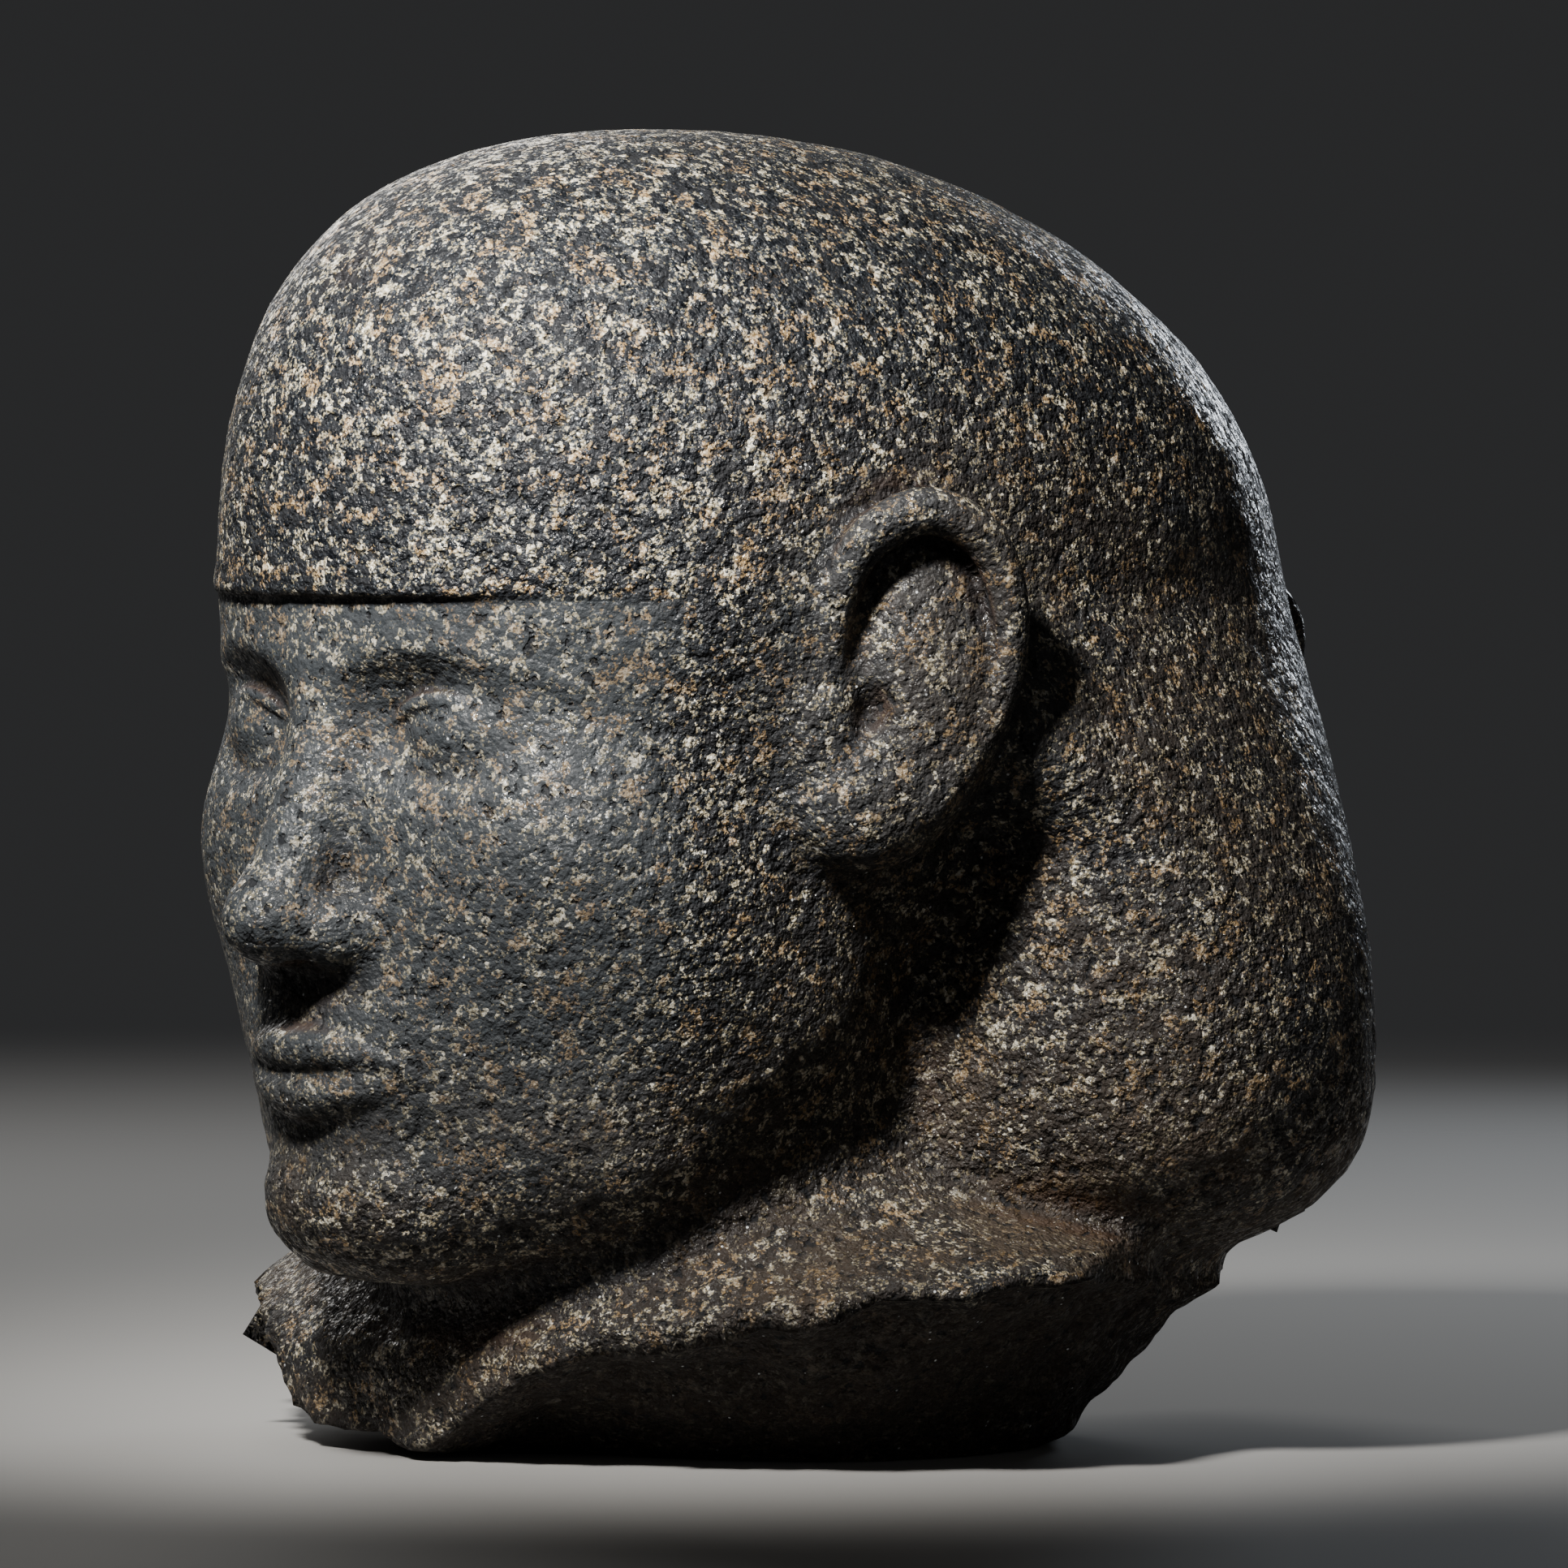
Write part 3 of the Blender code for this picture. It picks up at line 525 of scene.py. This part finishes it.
@dataclass
class GraniteHead:
    """The finished head: a clay skin drawn onto the form, given the stone's relief and set in place."""

    form: HeadForm = field(default_factory=HeadForm)
    undulation: float = 0.30
    pecking: float = 0.22
    break_relief: float = 1.1

    def lump(self, centre: Triple, radii: Triple) -> bpy.types.Object:
        """One ball of clay, in squares."""
        bpy.ops.mesh.primitive_uv_sphere_add(segments=48, ring_count=24, radius=1.0)
        ball = bpy.context.object
        ball.data.transform(Matrix.Translation(centre) @ Matrix.Diagonal((*radii, 1.0)))
        return ball

    def ear_lump(self, side: float) -> bpy.types.Object:
        """A ball of clay round one ear, turned as the ear lies."""
        ball = self.lump((-2.0, -1.0, 0.0), (31.0, 50.0, 15.0))
        turn = Matrix(self.form.ears.axes().T).to_4x4()
        place = Matrix.Translation(self.form.ears.middle) @ turn
        ball.data.transform(Matrix.Scale(side, 4, (1.0, 0.0, 0.0)) @ place)
        if side < 0.0:
            ball.data.flip_normals()
        return ball

    def clay_skin(self) -> bpy.types.Object:
        """Lumps of clay pressed together into one object, still without carving."""
        bpy.ops.object.select_all(action="DESELECT")
        nose_z = self.form.face.nose_base_z + 14.0
        lumps = [
            self.lump((0.0, -28.0, 185.0), (92.0, 116.0, 96.0)),
            self.lump((0.0, 22.0, 122.0), (104.0, 88.0, 92.0)),
            self.lump((0.0, -62.0, 118.0), (76.0, 74.0, 86.0)),
            self.lump((0.0, -110.0, 58.0), (30.0, 28.0, 20.0)),
            self.lump((0.0, -130.0, nose_z), (18.0, 26.0, 24.0)),
            self.lump((0.0, -21.0, 60.0), (66.0, 60.0, 100.0)),
            self.lump((0.0, 0.0, 34.0), (126.0, 92.0, 26.0)),
            self.lump((0.0, -50.0, 18.0), (64.0, 54.0, 32.0)),
            self.lump((0.0, 70.0, 100.0), (46.0, 60.0, 106.0)),
        ]
        for side in (1.0, -1.0):
            lumps.append(self.ear_lump(side))
            lumps.append(self.lump((side * 74.0, 30.0, 96.0), (58.0, 54.0, 66.0)))
            lumps.append(self.lump((side * 44.0, -72.0, 74.0), (28.0, 38.0, 26.0)))
        for ball in lumps:
            ball.select_set(True)
        bpy.context.view_layer.objects.active = lumps[0]
        bpy.ops.object.join()
        return bpy.context.object

    def remesh(self, stone: bpy.types.Object, size: float) -> None:
        """Gives the stone an even skin of squares of that size."""
        voxels = stone.modifiers.new("even_skin", "REMESH")
        voxels.mode = "VOXEL"
        voxels.voxel_size = size
        bpy.ops.object.modifier_apply(modifier=voxels.name)

    def corners(self, stone: bpy.types.Object) -> np.ndarray:
        """The stone's points, one to a row."""
        flat = np.empty(len(stone.data.vertices) * 3, np.float32)
        stone.data.vertices.foreach_get("co", flat)
        return flat.reshape(-1, 3).astype(float)

    def set_corners(self, stone: bpy.types.Object, points: np.ndarray) -> None:
        """Moves the stone's points to those places."""
        stone.data.vertices.foreach_set("co", points.astype(np.float32).ravel())
        stone.data.update()

    def draw_onto_form(self, stone: bpy.types.Object, rounds: int) -> None:
        """Moves every point along the form's slope until it lies on the carved surface."""
        points = self.corners(stone)
        for _ in range(rounds):
            here = self.form.distance(points)
            slope = self.form.slope(points, here)
            steep = np.maximum((slope * slope).sum(axis=1), 0.08)
            move = -(here / steep)[:, None] * slope
            limit = np.minimum(1.0, 4.0 / np.maximum(length(move), 1e-9))
            points += move * limit[:, None]
        self.set_corners(stone, points)

    def ease_broken_edge(self, stone: bpy.types.Object) -> None:
        """Evens the skin round the stumps, where their walls meet the break in a sharp edge."""
        points = self.corners(stone)
        stump = self.form.neck.reach(points, self.form.neck.stump)
        near = (stump > 0.85) & (np.abs(points[:, 2] - 32.0) < 28.0)
        edge = stone.vertex_groups.new(name="broken_edge")
        edge.add(np.flatnonzero(near).tolist(), 1.0, "REPLACE")
        ease = stone.modifiers.new("eased_edge", "SMOOTH")
        ease.factor = 0.5
        ease.iterations = 6
        ease.vertex_group = edge.name
        bpy.ops.object.modifier_apply(modifier=ease.name)
        stone.vertex_groups.clear()

    def ear_reach(self, points: np.ndarray) -> np.ndarray:
        """How far each point lies from the middle of the nearer ear, with less counted up and down."""
        return length(self.form.ears.local(points) * np.array((1.0, 0.8, 1.0)))

    def fine_region(self, points: np.ndarray) -> np.ndarray:
        """Which points lie on the face or the ears, where the carving is finest."""
        folded = folded_left(points)
        face = (folded[:, 1] < -92.0) & (folded[:, 0] < 66.0) & (np.abs(folded[:, 2] - 118.0) < 78.0)
        return face | (self.ear_reach(points) < 36.0)

    def refine(self, stone: bpy.types.Object) -> None:
        """Halves the squares of the face and the ears."""
        chosen = self.fine_region(self.corners(stone))
        stone.data.vertices.foreach_set("select", np.zeros(len(chosen), bool))
        stone.data.edges.foreach_set("select", np.zeros(len(stone.data.edges), bool))
        count = len(stone.data.polygons)
        corner_of = np.empty(len(stone.data.loops), np.int32)
        stone.data.loops.foreach_get("vertex_index", corner_of)
        starts = np.empty(count, np.int32)
        stone.data.polygons.foreach_get("loop_start", starts)
        inside = np.minimum.reduceat(chosen[corner_of].astype(np.int32), starts) > 0
        stone.data.polygons.foreach_set("select", inside)
        bpy.ops.object.mode_set(mode="EDIT")
        bpy.ops.mesh.select_mode(type="FACE")
        bpy.ops.mesh.subdivide(number_cuts=1)
        bpy.ops.object.mode_set(mode="OBJECT")

    def marks(self, points: np.ndarray, out: np.ndarray, ear: np.ndarray) -> list[np.ndarray]:
        """What the finish needs to know of each point.

        Args:
            points: The skin's points, in squares, on the form.
            out: The direction out of the stone at each of them.
            ear: 1 on the ears and 0 away from them.

        Returns:
            A value for each point, 0 for not at all, of each of the marks in their order.
        """
        height = points[:, 2]
        edge_z = self.form.wig.edge_z
        hollow = np.zeros(len(points))
        for reach in (5.0, 11.0, 20.0):
            clear = self.form.distance(points + out * reach) / reach
            hollow += np.clip(1.0 - clear, 0.0, 1.0) / 3.0
        # How creased the surface is at each point, used for painted shade in the creases.
        creased = 1.0 - self.form.distance(points + out * 2.5) / 2.5
        broken = ramp(2.2, 0.4, np.abs(self.form.neck.underside(points)))
        broken *= ramp(0.3, 1.5, height)
        face = ramp(-84.0, -100.0, points[:, 1]) * ramp(edge_z + 1.0, edge_z - 1.0, height)
        face = np.maximum(face * ramp(48.0, 70.0, height), 0.5 * ear)
        polished = ramp(70.0, 200.0, height) * (1.0 - broken)
        # Brown patina on the sides and back, below the crown.
        patina_and_low_shade = 0.6 * ramp(-100.0, -30.0, points[:, 1]) * ramp(236.0, 186.0, height)
        # Painted shade: the neck and the stumps darkened and browned towards the bottom.
        patina_and_low_shade += 0.8 * ramp(96.0, 52.0, height) * (1.0 - 0.7 * broken)
        return [hollow, creased, broken, face, polished, patina_and_low_shade]

    def dress_surface(self, stone: bpy.types.Object) -> None:
        """Gives the surface the unevenness of hand work, and keeps the marks on its points.

        Args:
            stone: The head, in squares, lying on its form.
        """
        points = self.corners(stone)
        slope = self.form.slope(points, self.form.distance(points))
        out = slope / np.maximum(length(slope), 1e-9)[:, None]
        ear = ramp(44.0, 30.0, self.ear_reach(points))
        kept = self.marks(points, out, ear)
        hollow, _, broken, face, polished, _ = kept
        calm = np.maximum(face, ear)
        relief = self.undulation * (1.0 - 0.65 * calm)
        lift = relief * (lattice_noise(points, 15.0, 31) + 0.6 * lattice_noise(points, 8.0, 37))
        peck = self.pecking * (1.0 - 0.6 * calm) * (1.3 - 0.7 * polished)
        lift += peck * (lattice_noise(points, 4.6, 41) + 0.7 * lattice_noise(points, 3.1, 43))
        torn = lattice_noise(points, 8.0, 51) + 0.7 * lattice_noise(points, 4.6, 53)
        lift = lift * (1.0 - broken) + self.break_relief * broken * torn
        self.set_corners(stone, points + out * lift[:, None])
        for name, values in zip(MARKS, kept):
            layer = stone.data.attributes.new(name, "FLOAT", "POINT")
            layer.data.foreach_set("value", np.maximum(values, 0.0).astype(np.float32))
        log.info("surface dressed: %d points, deepest hollow %.2f", len(points), np.max(hollow))

    def level_seat(self, stone: bpy.types.Object) -> None:
        """Cuts everything below z = 0 away and closes the cut with a flat face."""
        bpy.ops.object.mode_set(mode="EDIT")
        bpy.ops.mesh.select_all(action="SELECT")
        bpy.ops.mesh.bisect(plane_co=(0, 0, 0), plane_no=(0, 0, 1), use_fill=True, clear_inner=True)
        bpy.ops.object.mode_set(mode="OBJECT")

    def close_faces(self, stone: bpy.types.Object) -> None:
        """Turns the faces into triangles that all point outwards."""
        mesh = bmesh.new()
        mesh.from_mesh(stone.data)
        bmesh.ops.triangulate(mesh, faces=mesh.faces[:])
        bmesh.ops.recalc_face_normals(mesh, faces=mesh.faces[:])
        mesh.to_mesh(stone.data)
        mesh.free()

    def bring_to_place(self, stone: bpy.types.Object) -> None:
        """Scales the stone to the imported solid's height and sets it over the solid's middle."""
        low, high = (np.array(corner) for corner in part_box(STONE_NODE))
        square = (high[2] - low[2]) / GRID_SQUARES
        points = self.corners(stone) * square
        middle = (points.min(axis=0) + points.max(axis=0)) / 2.0
        shift = (low + high) / 2.0 - middle
        shift[2] = low[2]
        self.set_corners(stone, points + shift)

    def build(self) -> bpy.types.Object:
        """Makes the head, in place and at its size, without its finish."""
        stone = self.clay_skin()
        stone.name = "carved_granite_head"
        stone.data.name = "carved_granite_head"
        for round_of in Skin:
            size, draws = round_of.value
            self.remesh(stone, size)
            self.draw_onto_form(stone, draws)
        self.ease_broken_edge(stone)
        self.refine(stone)
        self.draw_onto_form(stone, 3)
        self.dress_surface(stone)
        self.level_seat(stone)
        self.close_faces(stone)
        self.bring_to_place(stone)
        bpy.ops.object.shade_smooth()
        log.info("carved head: %d triangles", len(stone.data.polygons))
        return stone


class Value:
    """A shader socket that can stand in a sum."""

    def __init__(self, bench: "Bench", socket: bpy.types.NodeSocket) -> None:
        """Keeps the socket and the bench it belongs to."""
        self.bench = bench
        self.socket = socket

    def maths(self, operation: str, first: "Value | float", second: "Value | float") -> "Value":
        """One Math node on two numbers."""
        return self.bench.node("ShaderNodeMath", {"operation": operation}, {0: first, 1: second})

    def __add__(self, other: "Value | float") -> "Value":
        """The sum."""
        return self.maths("ADD", self, other)

    def __radd__(self, other: float) -> "Value":
        """The sum, with the number first."""
        return self.maths("ADD", other, self)

    def __sub__(self, other: "Value | float") -> "Value":
        """The difference."""
        return self.maths("SUBTRACT", self, other)

    def __rsub__(self, other: float) -> "Value":
        """The difference, with the number first."""
        return self.maths("SUBTRACT", other, self)

    def __mul__(self, other: "Value | float") -> "Value":
        """The product."""
        return self.maths("MULTIPLY", self, other)

    def __rmul__(self, other: float) -> "Value":
        """The product, with the number first."""
        return self.maths("MULTIPLY", other, self)


Grains = tuple[Value, Value, Value]


class Bench:
    """A material's node tree, and the one way nodes are put on it."""

    def __init__(self, name: str) -> None:
        """Starts an empty material of that name."""
        self.material = bpy.data.materials.new(name)
        self.material.use_nodes = True
        self.tree = self.material.node_tree
        self.shader = self.tree.nodes["Principled BSDF"]

    def node(self, kind: str, settings: dict, inputs: dict, output: int | str = 0) -> Value:
        """Puts one node on the bench.

        Args:
            kind: The node's type.
            settings: What is set on the node itself; stops are a ramp's places and colours.
            inputs: A number, a colour or a value for each of its sockets.
            output: The socket that is read.

        Returns:
            The value of that socket.
        """
        made = self.tree.nodes.new(kind)
        for name, setting in settings.items():
            if name == "stops":
                self.set_stops(made.color_ramp, setting)
            else:
                setattr(made, name, setting)
        for name, given in inputs.items():
            self.join(made.inputs[name], given)
        return Value(self, made.outputs[output])

    def set_stops(self, bar: bpy.types.ColorRamp, stops: tuple) -> None:
        """Sets a ramp's places and colours."""
        while len(bar.elements) < len(stops):
            bar.elements.new(0.5)
        for element, (place, colour) in zip(bar.elements, stops):
            element.position = place
            element.color = (*colour, 1.0)

    def join(self, socket: bpy.types.NodeSocket, given: "Value | float | tuple") -> None:
        """Links a value to a socket, or sets the socket."""
        if isinstance(given, Value):
            self.tree.links.new(given.socket, socket)
        else:
            socket.default_value = given

    def mix(self, share: "Value | float", first: "Value | tuple", second: "Value | tuple") -> Value:
        """Two colours mixed: all first at 0 and all second at 1."""
        return self.node("ShaderNodeMix", {"data_type": "RGBA"}, {0: share, 6: first, 7: second}, 2)

    def step(self, value: Value, low: float, high: float) -> Value:
        """0 at low and 1 at high, with a smooth rise between them; it falls if low is the higher."""
        settings = {"interpolation_type": "SMOOTHSTEP"}
        if low < high:
            return self.node("ShaderNodeMapRange", settings, {0: value, 1: low, 2: high, 3: 0.0, 4: 1.0})
        return self.node("ShaderNodeMapRange", settings, {0: value, 1: high, 2: low, 3: 1.0, 4: 0.0})

    def noise(self, place: Value, size: float, detail: float = 3.0, rough: float = 0.55) -> Value:
        """Soft noise from 0 to 1 whose lumps are about that many millimetres across."""
        inputs = {"Vector": place, "Scale": 1.0 / size, "Detail": detail, "Roughness": rough}
        return self.node("ShaderNodeTexNoise", {}, inputs)

    def stirred(self, place: Value, size: float, reach: float) -> Value:
        """The coordinates pushed about by soft noise, so that what is laid on them has ragged edges.

        Args:
            place: The coordinates.
            size: How large the lumps of the noise are.
            reach: How far it can push.

        Returns:
            The coordinates, moved.
        """
        inputs = {"Vector": place, "Scale": 1.0 / size, "Detail": 1.0}
        push = self.node("ShaderNodeTexNoise", {}, inputs, "Color")
        settings = {"operation": "MULTIPLY_ADD"}
        return self.node("ShaderNodeVectorMath", settings, {0: push, 1: (reach,) * 3, 2: place})

    def grains(self, place: Value, size: float) -> Grains:
        """Packed grains of that size.

        Args:
            place: The coordinates.
            size: About how far apart the grains' middles are.

        Returns:
            How far each point is from its grain's middle, in grains, and two chances from 0 to 1 that are
            the same over the whole grain.
        """
        inputs = {"Vector": place, "Scale": 1.0 / size}
        near = self.node("ShaderNodeTexVoronoi", {}, inputs, "Distance")
        colour = Value(self, near.socket.node.outputs["Color"])
        split = self.node("ShaderNodeSeparateColor", {}, {0: colour})
        return near, split, Value(self, split.socket.node.outputs[1])

    def kept(self, name: str) -> Value:
        """A value kept on the piece's own points."""
        return self.node("ShaderNodeAttribute", {"attribute_name": name}, {}, "Fac")


@dataclass(frozen=True)
class SpeckledGranite:
    """Dark granite: blue-black and charcoal grains, pale and tan ones, and brown stain in the hollows."""

    black: Triple = (0.003, 0.004, 0.006)
    charcoal: Triple = (0.013, 0.016, 0.021)
    slate: Triple = (0.048, 0.055, 0.060)
    cream: Triple = (0.300, 0.250, 0.145)
    white: Triple = (0.780, 0.740, 0.620)
    tan: Triple = (0.280, 0.150, 0.045)
    # Brown of the patina, and of the painted shade low down.
    brown_patina_and_shade: Triple = (0.058, 0.040, 0.024)
    stain: Triple = (0.046, 0.021, 0.009)
    # Dark dust on the break, also dark as painted shade under the rim.
    dust_and_break_shade: Triple = (0.021, 0.015, 0.011)
    # Pale mica, bright enough to be a painted glint.
    mica_flake_and_glint: Triple = (0.750, 0.780, 0.800)
    grain: float = 1.75
    crumb: float = 0.62
    peck: float = 3.0
    patch: float = 30.0
    refraction: float = 1.44

    def make(self) -> bpy.types.Material:
        """The stone's material, on the piece's own coordinates in millimetres."""
        bench = Bench("speckled_granite")
        metres = bench.node("ShaderNodeTexCoord", {}, {}, "Object")
        place = bench.node("ShaderNodeVectorMath", {"operation": "SCALE"}, {0: metres, "Scale": 1000.0})
        kept = {name: bench.kept(name) for name in MARKS}
        broken, face, polished = (kept[name] for name in ("broken", "face", "polished"))
        grain = bench.grains(bench.stirred(place, 1.9, 1.7), self.grain)
        crumb = bench.grains(bench.stirred(place, 0.8, 0.7), self.crumb)
        tone = self.tone(bench, place, grain, crumb)
        pecks = bench.noise(place, self.peck, 2.0, 0.6)
        pits = bench.step(pecks, 0.385, 0.325)
        glint = self.glints(bench, place)
        colour = self.soiled_and_shaded(bench, place, self.colour(bench, place, tone, face), kept)
        colour = bench.mix(pits * 0.85, colour, (*self.black, 1.0))
        # Painted glints: rare mica flakes coloured near white.
        colour = bench.mix(glint * 0.8, colour, (*self.mica_flake_and_glint, 1.0))
        bench.join(bench.shader.inputs["Base Color"], colour)
        rough = 0.74 - 0.40 * bench.step(tone, 0.42, 0.66) + 0.25 * broken + 0.25 * pits - 0.20 * glint
        rough = rough + 0.36 * (grain[2] - 0.5) + 0.30 * (crumb[2] - 0.5) - 0.10 * polished
        bench.join(bench.shader.inputs["Roughness"], rough)
        smooth = 0.22 * polished + 0.45 * face - 0.40 * broken
        height = self.height(bench, place, grain, pecks, smooth) - 0.50 * pits
        inputs = {"Strength": 1.0, "Distance": 0.001, "Height": height}
        bench.join(bench.shader.inputs["Normal"], bench.node("ShaderNodeBump", {}, inputs))
        bench.shader.inputs["IOR"].default_value = self.refraction
        return bench.material

    def tone(self, bench: Bench, place: Value, grain: Grains, crumb: Grains) -> Value:
        """How pale the stone is at each place, from 0 to 1."""
        drift = bench.noise(place, 5.0, 3.0, 0.6)
        specks = bench.noise(place, 0.6, 2.0, 0.6)
        tone = 0.5 + (grain[1] - 0.5) * 0.36 + (crumb[1] - 0.5) * 0.34
        return tone + (drift - 0.5) * 0.60 + (specks - 0.5) * 0.50

    def colour(self, bench: Bench, place: Value, tone: Value, face: Value) -> Value:
        """The colour of the grains.

        Args:
            bench: The material's bench.
            place: The coordinates in millimetres.
            tone: How pale the stone is.
            face: Where the stone was rubbed smoother and greyer.

        Returns:
            The colour, with less contrast on the face.
        """
        stops = (
            (0.44, self.black),
            (0.53, self.charcoal),
            (0.61, self.slate),
            (0.70, self.cream),
            (0.86, self.white),
        )
        colour = bench.node("ShaderNodeValToRGB", {"stops": stops}, {0: tone})
        warm = bench.step(bench.noise(place, 7.0, 2.0), 0.50, 0.60) * bench.step(tone, 0.54, 0.66)
        colour = bench.mix(warm * 0.55, colour, (*self.tan, 1.0))
        return bench.mix(face * 0.48, colour, (*self.slate, 1.0))

    def soiled_and_shaded(self, bench: Bench, place: Value, clean: Value, kept: dict[str, Value]) -> Value:
        """The colour with what has settled on the stone, and painted shade.

        Args:
            bench: The material's bench.
            place: The coordinates in millimetres.
            clean: The colour of the grains.
            kept: The piece's marks by name.

        Returns:
            The colour, with brown patina and painted shade low down, stain in the hollows, dust and painted
            shade on the break, and painted shade in the creases.
        """
        patch = bench.noise(place, self.patch, 3.0)
        # Brown patina on the sides and back, and painted shade darkening the neck and stumps.
        brown_patina_and_shade = kept["patina_and_low_shade"] * bench.step(patch, 0.22, 0.62) * 0.52
        stain = bench.step(kept["hollow"] + (patch - 0.5) * 0.7, 0.20, 0.75) * 0.60
        # Dust and painted shade on the break, in patches.
        dust_and_break_shade = kept["broken"] * bench.step(patch, 0.10, 0.5) * 0.88
        # Painted shade: near black in the creases.
        crease_shade = bench.step(kept["creased"], 0.06, 0.45) * 0.75
        layers = ((brown_patina_and_shade, self.brown_patina_and_shade), (stain, self.stain), (dust_and_break_shade, self.dust_and_break_shade), (crease_shade, self.black))
        colour = clean
        for share, settled in layers:
            colour = bench.mix(share, colour, (*settled, 1.0))
        return colour

    def height(self, bench: Bench, place: Value, grain: Grains, pecks: Value, smooth: Value) -> Value:
        """The height of the pecked surface in millimetres, lower where the stone was rubbed smooth."""
        grit = bench.noise(place, 0.65, 1.0, 0.6)
        standing = 0.46 * grain[1] - 0.62 * grain[0] + 0.62 * grit
        return (standing + 2.1 * pecks) * (1.0 - smooth)

    def glints(self, bench: Bench, place: Value) -> Value:
        """Tiny and rare flakes of mica, painted near white as glints."""
        near, _, chance = bench.grains(place, 1.1)
        return bench.step(chance, 0.985, 0.990) * bench.step(near, 0.30, 0.20)


@dataclass(frozen=True)
class StageFinish:
    """The plain pale floor's finish. It thins out far from the head, so that no line shows behind it."""

    colour: Triple = (0.33, 0.325, 0.315)
    roughness: float = 0.85
    whole_to: float = 0.35
    gone_at: float = 1.6

    def make(self) -> bpy.types.Material:
        """The floor's material."""
        bench = Bench("pale_floor")
        bench.join(bench.shader.inputs["Base Color"], (*self.colour, 1.0))
        bench.join(bench.shader.inputs["Roughness"], self.roughness)
        metres = bench.node("ShaderNodeTexCoord", {}, {}, "Object")
        away = bench.node("ShaderNodeVectorMath", {"operation": "LENGTH"}, {0: metres}, 1)
        bench.join(bench.shader.inputs["Alpha"], bench.step(away, self.gone_at, self.whole_to))
        return bench.material


@dataclass(frozen=True)
class Lamp:
    """One square soft light that is aimed at a place on the head.

    Angles are in degrees round and above the place, lengths in metres, the power in watts. The cone is how
    wide the light opens, in degrees.
    """

    name: str
    azimuth: float
    elevation: float
    away: float
    size: float
    power: float
    tint: Triple
    aim: Triple = (0.0, 0.0, 0.14)
    cone: float = 180.0

    def hang(self) -> None:
        """Puts the light in its place."""
        light = bpy.data.lights.new(self.name, "AREA")
        light.energy = self.power
        light.size = self.size
        light.color = self.tint
        light.spread = math.radians(self.cone)
        lamp = bpy.data.objects.new(self.name, light)
        bpy.context.scene.collection.objects.link(lamp)
        toward = direction(self.azimuth, self.elevation)
        lamp.location = Vector(self.aim) + toward * self.away
        lamp.rotation_mode = "QUATERNION"
        lamp.rotation_quaternion = toward.to_track_quat("Z", "Y")


def direction(azimuth: float, elevation: float) -> Vector:
    """The direction from the head to something at that azimuth and elevation in degrees."""
    around, above = math.radians(azimuth), math.radians(elevation)
    return Vector((math.sin(around) * math.cos(above), -math.cos(around) * math.cos(above), math.sin(above)))


@dataclass
class Studio:
    """Floor, lights and camera. The camera looks from the head's front left, as the photograph does."""

    azimuth: float = 50.0
    elevation: float = 2.0
    distance: float = 2.4
    view_width: float = 0.338
    aim: Triple = (-0.0018, 0.0131, 0.1398)
    floor_radius: float = 4.0
    air: Triple = (0.60, 0.61, 0.63)
    air_strength: float = 0.045
    lamps: tuple[Lamp, ...] = (
        Lamp("key", 26.0, 42.0, 0.62, 0.11, 1.0, (1.0, 0.97, 0.93), (0.020, -0.086, 0.226), 38.0),
        Lamp("rim", 210.0, 12.0, 1.3, 0.3, 3.0, (0.84, 0.91, 1.0)),
        Lamp("fill", 88.0, 20.0, 2.0, 1.1, 0.65, (1.0, 0.98, 0.96)),
        Lamp("back", 248.0, 24.0, 1.7, 0.9, 10.0, (1.0, 0.98, 0.95)),
    )

    def floor(self) -> bpy.types.Object:
        """A plain disc to stand on."""
        bpy.ops.mesh.primitive_circle_add(vertices=96, radius=self.floor_radius, fill_type="NGON")
        disc = bpy.context.object
        disc.name = "floor"
        disc.data.transform(Matrix.Translation((0.0, 0.0, -0.0002)))
        disc.data.materials.append(StageFinish().make())
        return disc

    def lights(self) -> None:
        """A key from above on the left, a cool narrow rim light, a weak fill and a soft back light."""
        for lamp in self.lamps:
            lamp.hang()
        world = bpy.data.worlds.new("studio")
        world.use_nodes = True
        world.node_tree.nodes["Background"].inputs["Color"].default_value = (*self.air, 1.0)
        world.node_tree.nodes["Background"].inputs["Strength"].default_value = self.air_strength
        bpy.context.scene.world = world

    def camera(self) -> None:
        """The camera at the photograph's angle."""
        lens = bpy.data.cameras.new("camera")
        lens.sensor_width = 36.0
        lens.lens = 36.0 * self.distance / self.view_width
        lens.clip_start = 0.05
        viewer = bpy.data.objects.new("camera", lens)
        bpy.context.scene.collection.objects.link(viewer)
        toward = direction(self.azimuth, self.elevation)
        viewer.location = Vector(self.aim) + toward * self.distance
        viewer.rotation_mode = "QUATERNION"
        viewer.rotation_quaternion = toward.to_track_quat("Z", "Y")
        bpy.context.scene.camera = viewer

    def build(self) -> None:
        """Sets the stage."""
        self.floor()
        self.lights()
        self.camera()
        log.info("studio set")


def main() -> None:
    """Builds the head and the studio, and keeps the imported solid, hidden, beside the carved head."""
    logging.basicConfig(level=logging.INFO, format="%(message)s")
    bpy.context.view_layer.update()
    stone = GraniteHead().build()
    stone.data.materials.clear()
    stone.data.materials.append(SpeckledGranite().make())
    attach(stone, "root")
    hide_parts(STONE_NODE)
    Studio().build()


if __name__ == "__main__":
    main()
